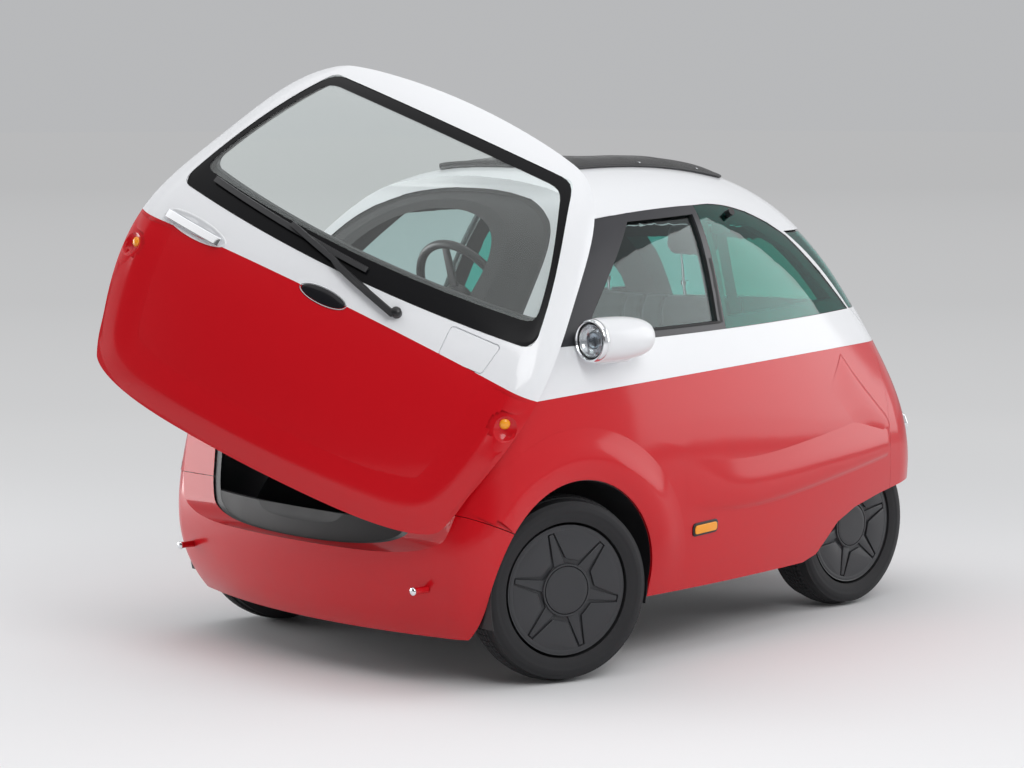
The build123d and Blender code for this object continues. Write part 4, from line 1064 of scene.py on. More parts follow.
# the skirt's crease, y and z, and the swelling above it (distance over the crease)
SKIRT_LINE = [(-0.290, 0.462), (-0.200, 0.446), (-0.100, 0.436), (0.000, 0.432), (0.100, 0.434),
              (0.200, 0.440), (0.300, 0.449), (0.400, 0.458), (0.500, 0.467), (0.600, 0.476),
              (0.700, 0.485), (0.790, 0.493), (0.850, 0.498)]
SKIRT_SWELL = [(-0.014, 0.0003), (-0.007, 0.0022), (-0.002, 0.0056), (0.004, 0.0078), (0.014, 0.0088),
               (0.032, 0.0086), (0.056, 0.0074), (0.084, 0.0050), (0.112, 0.0024), (0.140, 0.0004)]


def sheet_of(name, rows):
    """A grid whose corners are set to rows of places."""
    fresh()
    bpy.ops.mesh.primitive_grid_add(x_subdivisions=len(rows[0]) - 1,
                                    y_subdivisions=len(rows) - 1, size=1)
    sheet = added(name)
    for corner, place in zip(sheet.data.vertices, [place for row in rows for place in row]):
        corner.co = place
    return sheet


def laid_on(sheet, forms, way, heights):
    """Corners carried along a direction to the first form met, then out again by their heights.
    Those that meet none, or meet it nearly edge on, are deleted."""
    missed = set()
    for corner, height in zip(sheet.data.vertices, heights):
        start = corner.co - way * 2
        best = None
        for form in forms:
            hit, at, normal, _ = form.ray_cast(start, way)
            if hit and (best is None or (at - start).length < (best[0] - start).length):
                best = (at, normal)
        if best is None or abs(best[1].dot(way)) < 0.2:
            missed.add(corner.index)
        else:
            corner.co = best[0] - way * height
    if missed:
        choose(sheet, nothing, "VERT")
        bpy.ops.object.mode_set(mode="OBJECT")
        for corner in sheet.data.vertices:
            corner.select = corner.index in missed
        bpy.ops.object.mode_set(mode="EDIT")
        bpy.ops.mesh.delete(type="VERT")
        fresh()


def turned_out(sheet, way):
    """Faces that look along the way in are flipped."""
    choose(sheet, lambda centre, normal: normal.dot(way) > 0)
    bpy.ops.mesh.flip_normals()
    fresh()
    smooth(sheet, 60)


def both_sides(sheet, material):
    """The left sheet and its twin on the right, as one piece of the body."""
    pair = mirrored_pair(sheet, Matrix.Identity(4))
    return done(pair, material, "car_body")


def build_fenders():
    """A soft swelling round each front arch."""
    stations = [math.radians(FENDER_FROM + FENDER_SWEEP * k / FENDER_STEPS)
                for k in range(FENDER_STEPS + 1)]
    rows, heights = [], []
    for reach, height in FENDER_SWELL:
        row = [Vector((0.9, FENDER_AT[0] + reach * math.cos(a), FENDER_AT[1] + reach * math.sin(a)))
               for a in stations]
        rows.append(row)
        for k in range(len(stations)):
            ends = min(k, FENDER_STEPS - k) / FENDER_FADE
            heights.append(ON_PANEL + (height - ON_PANEL) * min(1, ends) ** 2)
    sheet = sheet_of("front_fender_swells", rows)
    laid_on(sheet, [nodes["side_panels"]], LEFT, heights)
    turned_out(sheet, LEFT)
    both_sides(sheet, "red_paint")


def build_skirts():
    """The crease over the sill with the swelling above it, to the tail."""
    rows, heights = [], []
    for over, height in SKIRT_SWELL:
        rows.append([Vector((0.9, y, z + over)) for y, z in SKIRT_LINE])
        for k in range(len(SKIRT_LINE)):
            fade = min(1.0, k / 3)
            heights.append(ON_PANEL + (height - ON_PANEL) * fade)
    sheet = sheet_of("skirt_swells", rows)
    laid_on(sheet, [nodes["side_panels"]], LEFT, heights)
    refined(sheet, 2)
    turned_out(sheet, LEFT)
    both_sides(sheet, "red_paint")


def inward_normals(line):
    """The direction into the door at each point of its outline, in the front view."""
    ways = []
    for k in range(len(line)):
        before, after = line[max(k - 1, 0)], line[min(k + 1, len(line) - 1)]
        run = Vector((after[0] - before[0], after[1] - before[1])).normalized()
        ways.append(Vector((run.y, -run.x)))
    return ways


def build_door_edge(form):
    """The door's lower panel stands proud inside a sloping band along its edge."""
    half = DOOR_OUTLINE
    line = half + [(-x, z) for x, z in reversed(half[:-1])]
    ways = inward_normals(line)
    rows, heights = [], []
    for inset, height in DOOR_SWELL:
        row = []
        for (x, z), way in zip(line, ways):
            row.append(Vector((x + way.x * inset, AHEAD, z + way.y * inset)))
        rows.append(row)
        heights += [height] * len(line)
    sheet = sheet_of("door_edge_swell", rows)
    laid_on(sheet, [form], INTO_NOSE, heights)
    refined(sheet, 2)

    def over_lamp(centre, normal):
        reach = math.hypot(abs(centre.x) - INDICATOR.x, centre.z - INDICATOR.z)
        return reach < INDICATOR_CLEAR

    choose(sheet, over_lamp)
    bpy.ops.mesh.delete(type="FACE")
    fresh()
    turned_out(sheet, INTO_NOSE)
    hung_on_door(sheet, "red_paint")


ARCH_RADIUS, ARCH_INNER = 0.3095, 0.640
LINER_STEP, LINER_STEPS = 0.016, 3
LINER_BEHIND = 0.007               # its outer edge behind the panel's face


def build_arch_liners():
    """Black linings inside the painted edges of the front arches."""
    bpy.ops.mesh.primitive_circle_add(vertices=120, radius=ARCH_RADIUS, fill_type="NOTHING",
                                      location=(ARCH_INNER, *FENDER_AT), rotation=ALONG_X)
    liner = added("front_arch_liners")
    choose(liner, lambda place, run: place.z < 0.19, "EDGE")
    bpy.ops.mesh.delete(type="EDGE")
    fresh()
    choose(liner, everything, "EDGE")
    for _ in range(LINER_STEPS):
        bpy.ops.mesh.extrude_edges_move(TRANSFORM_OT_translate={"value": (LINER_STEP, 0, 0)})
    fresh()
    for corner in liner.data.vertices:
        if corner.co.x > ARCH_INNER + LINER_STEP * (LINER_STEPS - 0.5):
            outwards = (corner.co - Vector((0, *FENDER_AT))) * Vector((0, 0.01, 0.01))
            start = Vector((BESIDE, corner.co.y, corner.co.z)) + outwards
            hit, at, _, _ = nodes["side_panels"].ray_cast(start, LEFT)
            if hit:
                corner.co.x = at.x - LINER_BEHIND
    thickened(liner, 0.002, 0)
    smooth(liner, 40)
    both_sides(liner, "black_trim")


# ---- padded seats -----------------------------------------------------------------------------
PUFF_FRAMES, PUFF_PRESSURE = 20, 4.0
SEAT_SWELL, REST_SWELL = 0.022, 0.012              # how far a cover may be blown out
SEAT_VOXEL, REST_VOXEL = 0.008, 0.005
SEAM_HALF, SEAM_DEEP = 0.0065, 0.009
BENCH_LOW, BENCH_HIGH = 0.4405, 0.570
BENCH_HALF, BENCH_FRONT, BENCH_REAR = 0.500, -0.060, 0.3895
BACK_HALF, BACK_LOW, BACK_HIGH = 0.430, 0.574, 1.060
BACK_FRONT, BACK_REAR, BACK_LEAN = 0.290, 0.380, 0.0918          # at its foot, and its slope
REST_AT, REST_SIZE = Vector((0.220, 0.262, 1.198)), Vector((0.220, 0.080, 0.116))
POST_LEAN, POST_SPREAD, POST_TALL = (0.126, 0, 0), 0.05, 0.15
POST_BACK, POST_MID = 0.013, 1.095
# seams: metres to either side of the middle, and the height or depth that they keep to
BENCH_SEAMS, BENCH_SEAMS_OVER = (0.40, 0.09), 0.47
BENCH_CROSS, BENCH_CROSS_OVER = 0.045, 0.52
BACK_SEAMS = (0.345, 0.085)
BACK_CROSS, BACK_CROSS_BEFORE = 0.90, 0.30
REST_SEAM = 0.086


def puffed(piece, voxel, cap):
    """Remeshed evenly and blown up a little as cloth; no corner moves further than the cap."""
    take(piece)
    remesh = piece.modifiers.new("even", "REMESH")
    remesh.mode = "VOXEL"
    remesh.voxel_size = voxel
    bpy.ops.object.modifier_apply(modifier=remesh.name)
    before = [corner.co.copy() for corner in piece.data.vertices]
    puff = piece.modifiers.new("puff", "CLOTH")
    puff.settings.use_pressure = True
    puff.settings.uniform_pressure_force = PUFF_PRESSURE
    puff.settings.effector_weights.gravity = 0
    for moment in range(1, PUFF_FRAMES + 1):
        bpy.context.scene.frame_set(moment)
    bpy.ops.object.modifier_apply(modifier=puff.name)
    bpy.context.scene.frame_set(1)
    for corner, start in zip(piece.data.vertices, before):
        move = corner.co - start
        if move.length > cap:
            corner.co = start + move * (cap / move.length)
    refined(piece, 1)


def groove(distance):
    """How far a sewn channel pulls the cover in at a distance from its line."""
    return SEAM_DEEP * math.exp(-(distance / SEAM_HALF) ** 2)


def sewn(piece, lines):
    """Corners drawn in along their normals near the seams."""
    moves = []
    for corner in piece.data.vertices:
        moves.append(corner.normal * -sum(groove(line(corner.co)) for line in lines))
    for corner, move in zip(piece.data.vertices, moves):
        corner.co += move


def kept_between(piece, low, high):
    """No corner lower or higher than two heights."""
    for corner in piece.data.vertices:
        corner.co.z = min(max(corner.co.z, low), high)


def build_cushion():
    """The bench's cushion: two places with sewn panels, flat underneath."""
    low = Vector((-BENCH_HALF, BENCH_FRONT, BENCH_LOW))
    high = Vector((BENCH_HALF, BENCH_REAR, BENCH_HIGH))
    size = high - low - Vector((2 * SEAT_SWELL, 2 * SEAT_SWELL, SEAT_SWELL * 1.3))
    at = (high + low) / 2 - Vector((0, 0, SEAT_SWELL * 0.35))
    cushion = cube("seat_cushion", at, size)
    rounded(cushion, 0.030, 4)
    puffed(cushion, SEAT_VOXEL, SEAT_SWELL)
    kept_between(cushion, BENCH_LOW, BENCH_HIGH)
    seams = [lambda at: abs(at.x)]
    seams += [lambda at, run=run: abs(abs(at.x) - run) if at.z > BENCH_SEAMS_OVER else 1
              for run in BENCH_SEAMS]
    seams += [lambda at: abs(at.y - BENCH_CROSS) if at.z > BENCH_CROSS_OVER else 1]
    sewn(cushion, seams)
    kept_between(cushion, BENCH_LOW, BENCH_HIGH)
    smooth(cushion, 80)
    done(cushion, "seat_cover", "car_body")
    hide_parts("bench_cushion")


def build_backrest():
    """The bench's back, leaning, with the same sewn panels."""
    wide = 2 * BACK_HALF - 2 * SEAT_SWELL
    tall = BACK_HIGH - BACK_LOW - 2 * SEAT_SWELL
    deep = BACK_REAR - BACK_FRONT - 2 * SEAT_SWELL
    back = cube("seat_back", (0, 0, (BACK_HIGH + BACK_LOW) / 2), (wide, deep, tall))
    for corner in back.data.vertices:
        corner.co.y += (BACK_FRONT + BACK_REAR) / 2 - (corner.co.z - BACK_LOW) * BACK_LEAN
    rounded(back, 0.018, 3)
    puffed(back, SEAT_VOXEL, SEAT_SWELL)
    kept_between(back, BACK_LOW, BACK_HIGH)
    seams = [lambda at: abs(at.x)]
    seams += [lambda at, run=run: abs(abs(at.x) - run) for run in BACK_SEAMS]
    seams += [lambda at: abs(at.z - BACK_CROSS) if at.y < BACK_CROSS_BEFORE else 1]
    sewn(back, seams)
    smooth(back, 80)
    done(back, "seat_cover", "car_body")
    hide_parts("bench_back")


def build_head_rests():
    """Two padded head restraints, each on two bright posts with collars."""
    rest = cube("head_rest", REST_AT, REST_SIZE - Vector((2, 2, 2)) * REST_SWELL)
    rounded(rest, 0.024, 4)
    puffed(rest, REST_VOXEL, REST_SWELL)
    sewn(rest, [lambda at: abs(abs(at.x - REST_AT.x) - REST_SEAM)])
    smooth(rest, 80)
    other = placed_copy(rest, "head_rest_right", Matrix.Translation((-2 * REST_AT.x, 0, 0)))
    rest.name = "head_rest_left"
    for piece in (rest, other):
        done(piece, "seat_cover", "car_body")
    posts = []
    for side in (-1, 1):
        for spread in (-POST_SPREAD, POST_SPREAD):
            at = Vector((side * REST_AT.x + spread, REST_AT.y + POST_BACK, POST_MID))
            foot = at + Vector((0, 0.005, -0.035))
            posts.append(drum("post", at, 0.0065, POST_TALL, 24, POST_LEAN))
            posts.append(drum("collar", foot, 0.0125, 0.012, 24, POST_LEAN))
    posts = joined("head_rest_posts", posts)
    smooth(posts, 40)
    done(posts, "chrome", "car_body")


# ---- belts ------------------------------------------------------------------------------------
BELT_TOP, BELT_LOW = Vector((0.405, 0.182, 1.250)), Vector((0.555, 0.182, 0.640))
BELT_WIDE, BELT_THICK = 0.046, 0.0018
BELT_TUCKED = 0.03                 # of its run, hidden in guide and reel
BELT_SLACK, BELT_WANDER = 0.004, 0.003
BOLT_LEAN = 1.107
STRAP_CUTS = 24


def build_straps():
    """A strap on each side from its guide ring down to its reel, over the lining."""
    run = BELT_LOW - BELT_TOP
    lean = math.atan2(run.x, -run.z)
    size = (BELT_THICK, BELT_WIDE, run.length - BELT_TUCKED)
    strap = cube("belt_strap", (BELT_TOP + BELT_LOW) / 2, size, (0, -lean, 0))
    choose(strap, everything, "EDGE")
    bpy.ops.mesh.subdivide(number_cuts=STRAP_CUTS)
    fresh()
    for corner in strap.data.vertices:
        along = (corner.co.z - BELT_LOW.z) / (BELT_TOP.z - BELT_LOW.z)
        corner.co.x += BELT_SLACK * math.sin(math.pi * along)
        corner.co.y += BELT_WANDER * math.sin(2 * math.pi * along)
    smooth(strap, 50)
    straps = mirrored_pair(strap, Matrix.Identity(4))
    straps.name = "belt_straps"
    done(straps, "belt_webbing", "car_body")
    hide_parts("seat_belts")


def build_belt_guides():
    """A guide ring with its cap and bolt over each strap, a reel and its foot under it."""
    ring = cube("guide", BELT_TOP + Vector((0.004, 0, 0.002)), (0.011, 0.078, 0.052))
    rounded(ring, 0.0045, 3)
    cap = drum("cap", BELT_TOP + Vector((0.004, 0, 0.024)), 0.022, 0.022, 40, ALONG_X)
    bolt = drum("bolt", BELT_TOP + Vector((0.030, 0, 0.036)), 0.012, 0.05, 24, (0, BOLT_LEAN, 0))
    reel = cube("reel", BELT_LOW + Vector((0.012, 0, -0.004)), (0.036, 0.066, 0.056))
    rounded(reel, 0.009, 3)
    foot = drum("foot", BELT_LOW + Vector((0.036, 0, 0)), 0.014, 0.036, 24, ALONG_X)
    guides = joined("belt_guides", [ring, cap, bolt, reel, foot])
    smooth(guides, 40)
    both_sides(guides, "black_trim")


# ---- folding roof -----------------------------------------------------------------------------
DOWN = Vector((0, 0, -1))
ROOF_FRONT, ROOF_REAR = (0.276, -0.381), (0.2245, 0.411)         # half width and y at either end
ROOF_BOWS = (-0.215, -0.02, 0.175)
ROOF_ACROSS, ROOF_ALONG = 56, 80
ROOF_CORNER = 0.036
EDGE_SUNK, CROWN_RISE, CROWN_RUN = 0.0075, 0.0100, 0.09
BOW_RISE, BOW_HALF = 0.0022, 0.03
HEM_RADIUS, HEM_SUNK = 0.0048, 0.0078
BAR_RADIUS, BAR_SUNK, BAR_HALF, BAR_STEPS = 0.0105, 0.003, 0.262, 40
BAR_BACK = 0.012                   # behind the opening's front edge
STUD_PLACES, STUD_INSET = (-0.308, 0.0, 0.28), 0.014
CORD_SIDES = 10


def roof_half(y):
    """The opening's half width at a place along the car."""
    share = (y - ROOF_FRONT[1]) / (ROOF_REAR[1] - ROOF_FRONT[1])
    return ROOF_FRONT[0] + (ROOF_REAR[0] - ROOF_FRONT[0]) * share


def roof_rows():
    """Rows of places over the opening, its four corners rounded."""
    rows = []
    for j in range(ROOF_ALONG + 1):
        y = ROOF_FRONT[1] + (ROOF_REAR[1] - ROOF_FRONT[1]) * j / ROOF_ALONG
        half = roof_half(y)
        inward = ROOF_CORNER - min(y - ROOF_FRONT[1], ROOF_REAR[1] - y)
        if inward > 0:
            half -= ROOF_CORNER - math.sqrt(max(0, ROOF_CORNER ** 2 - inward ** 2))
        rows.append([Vector((half * (2 * i / ROOF_ACROSS - 1), y, OVERHEAD))
                     for i in range(ROOF_ACROSS + 1)])
    return rows


def build_roof():
    """Black cloth stretched over three bows, sunk a little between them, its edges bound, with a
    rounded bar in front and press studs along its sides."""
    rows = roof_rows()
    heights = []
    for place in [place for row in rows for place in row]:
        edge = min(roof_half(place.y) - abs(place.x), place.y - ROOF_FRONT[1],
                   ROOF_REAR[1] - place.y)
        crown = min(1.0, max(0.0, edge) / CROWN_RUN)
        bow = max(math.exp(-((place.y - at) / BOW_HALF) ** 2) for at in ROOF_BOWS)
        heights.append(-EDGE_SUNK + CROWN_RISE * crown * (2 - crown) + BOW_RISE * bow * crown)
    sheet = sheet_of("roof_cloth", rows)
    laid_on(sheet, [nodes["fabric_roof"]], DOWN, heights)
    turned_out(sheet, DOWN)
    thickened(sheet, 0.0022, -1)
    smooth(sheet, 60)
    done(sheet, "roof_fabric", "car_body")
    line = [rows[0][i] for i in range(ROOF_ACROSS + 1)] + [row[-1] for row in rows[1:]]
    line += list(reversed(rows[-1][:-1])) + [row[0] for row in reversed(rows[1:-1])]
    hem = tube_on("roof_hem", line, HEM_RADIUS, -HEM_SUNK)
    done(hem, "black_trim", "car_body")
    bar_line = [Vector((BAR_HALF * (2 * i / BAR_STEPS - 1), ROOF_FRONT[1] + BAR_BACK, OVERHEAD))
                for i in range(BAR_STEPS + 1)]
    bar = tube_on("roof_front_bar", bar_line, BAR_RADIUS, -BAR_SUNK, closed=False)
    done(bar, "roof_fabric", "car_body")
    studs = []
    for y in STUD_PLACES:
        for side in (-1, 1):
            spot = Vector((side * (roof_half(y) - STUD_INSET), y, OVERHEAD))
            _, at, normal, _ = nodes["fabric_roof"].ray_cast(spot, DOWN)
            turn = normal.to_track_quat("Z", "Y").to_euler()
            studs.append(drum("stud", at - normal * 0.002, 0.0052, 0.0044, 24, tuple(turn)))
    studs = joined("roof_studs", studs)
    smooth(studs, 40)
    done(studs, "chrome", "car_body")
    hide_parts("fabric_roof")


def tube_on(name, line, radius, height, closed=True):
    """A round cord along a line of places carried down onto the roof, a height over it."""
    places = []
    for place in line:
        hit, at, normal, _ = nodes["fabric_roof"].ray_cast(place, DOWN)
        if hit:
            places.append(at + normal * height)
    turns = [2 * math.pi * s / CORD_SIDES for s in range(CORD_SIDES + 1)]
    rows = []
    count = len(places)
    for k in range(count + (1 if closed else 0)):
        here = places[k % count]
        if closed:
            ahead, behind = places[(k + 1) % count], places[(k - 1) % count]
        else:
            ahead, behind = places[min(k + 1, count - 1)], places[max(k - 1, 0)]
        way = (ahead - behind).normalized()
        side = way.cross(Vector((0, 0, 1))).normalized()
        up = side.cross(way)
        rows.append([here + (side * math.cos(t) + up * math.sin(t)) * radius for t in turns])
    tube = sheet_of(name, rows)
    closed_up(tube, 0.00005)
    if not closed:
        capped(tube, -1)
        capped(tube, 1)
    smooth(tube, 60)
    return tube


# ---- steering wheel ---------------------------------------------------------------------------
WHEEL_AT, WHEEL_TILT = Vector((0.145, -0.640, 1.056)), math.radians(27)
WHEEL_RADIUS, GRIP_RADIUS, HUB_DROP = 0.178, 0.013, 0.030
ARM_PLACES = (12, 168, 270)        # degrees
ARM_INNER, ARM_OUTER, ARM_SIZE = 0.030, 0.172, (0.150, 0.030, 0.011)


def build_steering_wheel():
    """A round rim on three flat spokes about a plain pad."""
    fresh()
    bpy.ops.mesh.primitive_torus_add(major_radius=WHEEL_RADIUS, minor_radius=GRIP_RADIUS,
                                     major_segments=96, minor_segments=20)
    parts = [added("grip")]
    rise = math.atan2(HUB_DROP - 0.004, ARM_OUTER - ARM_INNER)
    for degrees in ARM_PLACES:
        angle = math.radians(degrees)
        way = Vector((math.cos(angle), math.sin(angle), 0))
        at = way * (ARM_INNER + ARM_OUTER) / 2 + Vector((0, 0, -HUB_DROP / 2))
        spoke = cube("spoke", (0, 0, 0), ARM_SIZE)
        for corner in spoke.data.vertices:
            corner.co.y *= 1.25 if corner.co.x < 0 else 0.8
        rounded(spoke, 0.004, 3)
        spoke.data.transform(Matrix.Translation(at) @ Matrix.Rotation(angle, 4, "Z")
                             @ Matrix.Rotation(-rise, 4, "Y"))
        parts.append(spoke)
    pad = drum("pad", (0, 0, -HUB_DROP + 0.004), 0.056, 0.036, 64)
    rounded(pad, 0.010, 4)
    parts.append(pad)
    parts.append(drum("collar", (0, 0, -HUB_DROP - 0.017), 0.040, 0.010, 48))
    wheel = joined("steering_rim", parts)
    smooth(wheel, 40)
    spin = Vector((0, math.cos(WHEEL_TILT), math.sin(WHEEL_TILT)))
    side = Vector((1, 0, 0))
    turn = Matrix((side, spin.cross(side), spin)).transposed().to_4x4()
    wheel.data.transform(Matrix.Translation(WHEEL_AT) @ turn)
    done(wheel, "black_trim", "steering_wheel")
    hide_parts("steering_wheel")


# ---- bumper studs -----------------------------------------------------------------------------
STUD_AT = Vector((0.534, -1.198, 0.296))
# radius and height towards the nose, millimetres
STUD_STEM = [(10.8, -57), (10.2, -50), (9.6, -30), (9.4, -12), (9.0, -9), (0, -9)]
STUD_CAP = [(10.4, -10.0), (11.5, -9.0), (11.8, -7.0), (11.4, -4.6), (9.6, -2.4), (6.0, -1.0),
            (0, -0.4)]


def build_bumper_studs():
    """Painted stems with a bright domed cap each."""
    place = Matrix.Translation(STUD_AT) @ FORWARD
    for name, profile, material in (("stud_stems", STUD_STEM, "red_paint"),
                                    ("stud_caps", STUD_CAP, "chrome")):
        piece = turned(name, profile, 40)
        capped(piece)
        smooth(piece, 40)
        pair = done(mirrored_pair(piece, place), material, "car_body")
    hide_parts("bumper_studs")


# ---- window edges -----------------------------------------------------------------------------
# x and z of the corners and of the middles between them, in front view on the closed door
SCREEN_OUTER = [(0.584, 0.961), (0.504, 1.165), (0.4015, 1.337), (0, 1.357), (0, 0.951)]
SCREEN_INNER = [(0.548, 1.016), (0.478, 1.180), (0.388, 1.316), (0, 1.334), (0, 1.006)]
LOW_STEPS, SIDE_STEPS, TOP_STEPS = 60, 24, 42
CORNER_SPREAD, CORNER_ROUNDS = 1, 3
BAND_SHARES = (0, 0.06, 0.2, 0.4, 0.6, 0.8, 0.95, 1)             # from its outer to its inner edge
BAND_OUT, BAND_DEEP = 0.0008, 0.0007
# y and z of each moulding's ends, half its width, how far it stands out, its depth, and the side
# of its line on which the frame lies
RUBBERS = [(((-0.050, 0.978), (0.000, 1.297)), 0.0130, 0.0012, 0.021, 1),
           (((-0.656, 0.972), (-0.334, 1.282)), 0.0040, 0.0010, 0.019, -1),
           (((-0.334, 1.2825), (-0.010, 1.2955)), 0.0035, 0.0008, 0.019, -1),
           (((-0.656, 0.9725), (-0.050, 0.9785)), 0.0035, 0.0008, 0.019, 1)]
RUBBER_STEPS, FRAME_OFF = 24, 0.004


def arc_through(a, b, c, count):
    """Points from a towards c on the circle through a, b and c, c left out."""
    spots = (a, b, c)
    squares = [x * x + z * z for x, z in spots]
    rises = (b[1] - c[1], c[1] - a[1], a[1] - b[1])
    runs = (c[0] - b[0], a[0] - c[0], b[0] - a[0])
    twice = 2 * sum(x * rise for (x, _), rise in zip(spots, rises))
    mid = Vector((sum(square * rise for square, rise in zip(squares, rises)) / twice,
                  sum(square * run for square, run in zip(squares, runs)) / twice))
    start, half, end = (Vector(spot) - mid for spot in (a, b, c))
    sweep = math.copysign(start.angle(half) + half.angle(end), start.x * half.y - start.y * half.x)
    points = []
    for k in range(count):
        turn = sweep * k / count
        points.append(mid + Vector((start.x * math.cos(turn) - start.y * math.sin(turn),
                                    start.x * math.sin(turn) + start.y * math.cos(turn))))
    return points


def screen_loop(spots):
    """The whole outline, its corners rounded."""
    low, side, top, crown, foot = spots
    flip = [(-x, z) for x, z in spots]
    loop, corners = [], []
    for a, b, c, steps in ((flip[0], foot, low, LOW_STEPS), (low, side, top, SIDE_STEPS),
                           (top, crown, flip[2], TOP_STEPS), (flip[2], flip[1], flip[0], SIDE_STEPS)):
        corners.append(len(loop))
        loop += arc_through(a, b, c, steps)
    count = len(loop)
    near = {(corner + k) % count for corner in corners
            for k in range(-CORNER_SPREAD, CORNER_SPREAD + 1)}
    for _ in range(CORNER_ROUNDS):
        loop = [(loop[k - 1] + 2 * loop[k] + loop[(k + 1) % count]) / 4 if k in near else loop[k]
                for k in range(count)]
    return loop


def build_screen_band(form):
    """The screen's black edge, on the glass."""
    outer, inner = screen_loop(SCREEN_OUTER), screen_loop(SCREEN_INNER)
    rows = []
    for share in BAND_SHARES:
        row = [far.lerp(near, share) for far, near in zip(outer, inner)]
        rows.append([Vector((spot.x, 0, spot.y)) for spot in row + row[:1]])
    band = draped(sheet_of("screen_band", rows), form, -BAND_OUT)
    closed_up(band, 0.00005)
    turned_out(band, INTO_NOSE)
    thickened(band, BAND_DEEP, -1)
    smooth(band, 40)
    hung_on_door(band, "screen_black", "screen_border", slot="gloss_black")


def side_strip(line, half_width, out, deep, frame_side):
    """A straight moulding over the side window, following the frame beside it."""
    start, end = (Vector((0, *spot)) for spot in line)
    across = (end - start).cross(Vector((1, 0, 0))).normalized() * frame_side
    rows = [[], []]
    level = 0.62
    for k in range(RUBBER_STEPS + 1):
        middle = start.lerp(end, k / RUBBER_STEPS)
        probe = middle + across * (half_width + FRAME_OFF)
        probe.x = BESIDE
        hit, at, _, _ = nodes["window_frames"].ray_cast(probe, LEFT)
        level = at.x if hit else level
        for row, way in zip(rows, (-1, 1)):
            spot = middle + across * way * half_width
            spot.x = level + out
            row.append(spot)
    strip = sheet_of("rubber", rows)
    turned_out(strip, LEFT)
    thickened(strip, deep, -1)
    rounded(strip, 0.0012, 2)
    return strip


def build_window_rubbers():
    """Rubber channels round the sliding panes, the broad one down each pane's rear edge."""
    rubber = joined("window_rubbers", [side_strip(*row) for row in RUBBERS])
    smooth(rubber, 40)
    both_sides(rubber, "seal_rubber")


def build_roof_lining():
    """A dark lining just inside the white roof: the faces of its shell that look inwards."""
    lining = placed_copy(nodes["roof_shell"], "roof_lining", Matrix.Identity(4))
    closed_up(lining, 0.00005)

    def not_inner(at, way):
        out = Vector((at.x, 0.35 * (at.y - 0.05), at.z - 0.75)).normalized()
        return way.dot(out) > -0.35

    choose(lining, not_inner)
    bpy.ops.mesh.delete(type="FACE")
    fresh()
    for corner in lining.data.vertices:
        corner.co += corner.normal * 0.0012
    done(lining, "black_trim", "car_body")


# ---- tail and side lamps ----------------------------------------------------------------------
# the side panel's rear edge, y and z, and the panel's swelling before it
EDGE_LINE = [(0.612, 0.838), (0.640, 0.806), (0.672, 0.772), (0.714, 0.735), (0.758, 0.700),
             (0.800, 0.666), (0.836, 0.640), (0.862, 0.620), (0.876, 0.600), (0.880, 0.580),
             (0.876, 0.560), (0.862, 0.542), (0.836, 0.530)]
EDGE_SWELL = [(0.0, 0.0002), (0.0025, 0.0036), (0.007, 0.0060), (0.016, 0.0070), (0.034, 0.0066),
              (0.060, 0.0050), (0.090, 0.0028), (0.120, 0.0010), (0.145, 0.0002)]
EDGE_LOW = EDGE_SWELL[0][1]


def build_panel_edge():
    """The side panel stands a little over the rear quarter, with a rounded edge."""
    forms = [nodes["side_panels"], nodes["rear_panel"]]
    rows, heights = [], []
    count = len(EDGE_LINE)
    for back, height in EDGE_SWELL:
        row = []
        for k, (y, z) in enumerate(EDGE_LINE):
            ahead, behind = EDGE_LINE[min(k + 1, count - 1)], EDGE_LINE[max(k - 1, 0)]
            way = Vector((0, ahead[0] - behind[0], ahead[1] - behind[1])).normalized()
            inner = Vector((0, way.z, -way.y))
            row.append(Vector((BESIDE, y, z)) + inner * back)
            fade = min(1.0, (k + 0.4) / 2, (count - 1 - k + 0.1) / 3)
            heights.append(EDGE_LOW + (height - EDGE_LOW) * fade)
        rows.append(row)
    sheet = sheet_of("panel_edge_swells", rows)
    laid_on(sheet, forms, LEFT, heights)
    refined(sheet, 2)
    turned_out(sheet, LEFT)
    both_sides(sheet, "red_paint")


MARKER_AT, MARKER_TILT = (-0.198, 0.384), math.radians(2)
MARKER_SUNK = 0.0085
# name, length and height, how far it stands out, its corners' radius, material
MARKERS = [("side_marker_beds", (0.118, 0.040), 0.0008, 0.013, "gloss_black"),
           ("side_marker_lenses", (0.102, 0.026), 0.0045, 0.009, "amber")]


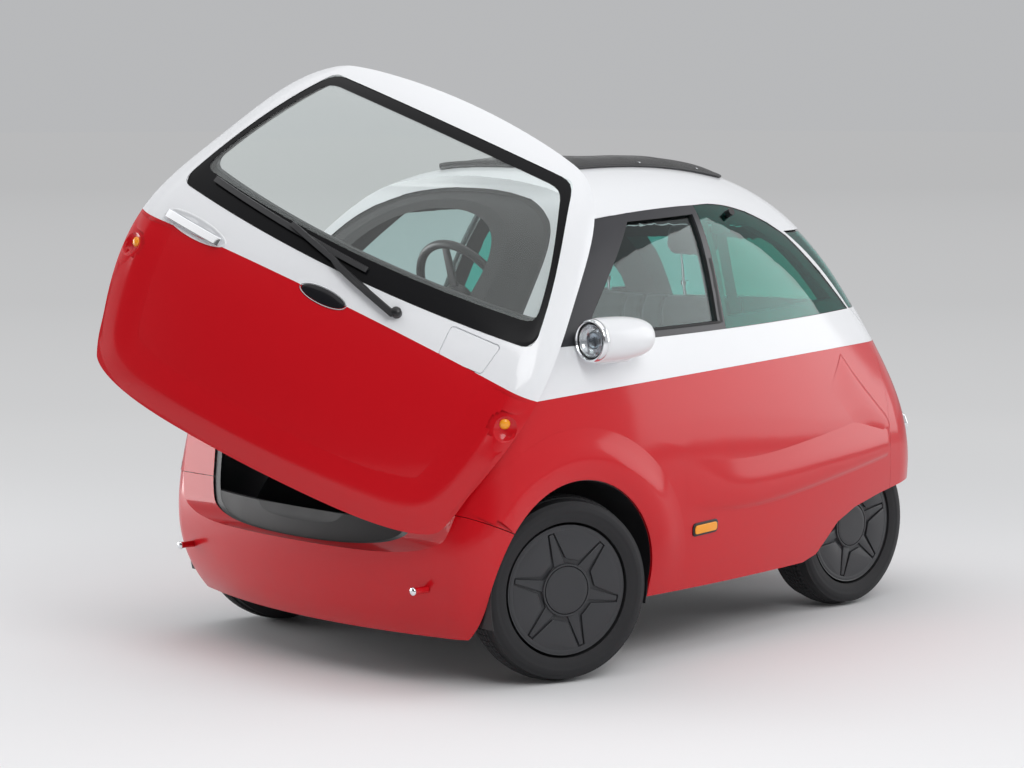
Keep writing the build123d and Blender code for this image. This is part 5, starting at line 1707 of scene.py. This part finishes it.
def build_side_markers():
    """An amber lens in a dark rounded slot on each side."""
    _, at, normal, _ = nodes["side_markers"].ray_cast(Vector((BESIDE, *MARKER_AT)), LEFT)
    turn = normal.to_track_quat("X", "Z").to_matrix().to_4x4()
    for name, size, out, corner, material in MARKERS:
        bar = cube(name, (0, 0, 0), (0.012, *size))
        choose(bar, lambda at, way: abs(way.x) > 0.5, "EDGE")
        bpy.ops.mesh.bevel(offset=corner, segments=6, affect="EDGES")
        fresh()
        rounded(bar, 0.0022, 3)
        bar.data.transform(Matrix.Translation(at + normal * (out - MARKER_SUNK)) @ turn
                           @ Matrix.Rotation(MARKER_TILT, 4, "X"))
        smooth(bar, 40)
        pair = both_sides(bar, material)
    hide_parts("side_markers")


TAIL_LAMP_X, TAIL_LAMP_Z, TAIL_LAMP_DEEP = 0.372, 0.565, 0.017
# radius and height over the panel, millimetres
TAIL_RING = [(44.0, -8), (44.0, 5.0), (43.2, 8.0), (41.2, 9.6), (39.2, 9.2), (38.2, 7.0),
             (38.0, -8), (44.0, -8)]
TAIL_DOME = [(38.2, 2.0), (37.8, 6.0), (35.0, 9.4), (31.0, 11.6), (30.2, 10.6), (29.4, 11.9),
             (22.0, 14.4), (21.2, 13.5), (20.4, 14.8), (11.0, 16.2), (0, 16.6)]


def build_tail_lamps():
    """Round red lenses with moulded rings in bright rims."""
    probe = Vector((TAIL_LAMP_X, BEHIND, TAIL_LAMP_Z))
    _, at, normal, _ = nodes["tail_lamps"].ray_cast(probe, -INTO_NOSE)
    turn = normal.to_track_quat("Z", "Y").to_matrix().to_4x4()
    place = Matrix.Translation(at - normal * TAIL_LAMP_DEEP) @ turn
    for name, profile, material in (("tail_lamp_rims", TAIL_RING, "chrome"),
                                    ("tail_lamp_domes", TAIL_DOME, "lamp_red")):
        part = turned(name, profile)
        smooth(part, 40)
        pair = done(mirrored_pair(part, place), material, "car_body")
    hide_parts("tail_lamps")


# ---- the whole scene --------------------------------------------------------------------------
place_camera()
build_studio()
build_materials()
dress_cad_nodes()
build_wheels()
build_headlamps()
build_door_fittings()
build_fenders()
build_skirts()
build_arch_liners()
build_cushion()
build_backrest()
build_head_rests()
build_straps()
build_belt_guides()
build_roof()
build_steering_wheel()
build_bumper_studs()
build_window_rubbers()
build_roof_lining()
build_panel_edge()
build_side_markers()
build_tail_lamps()
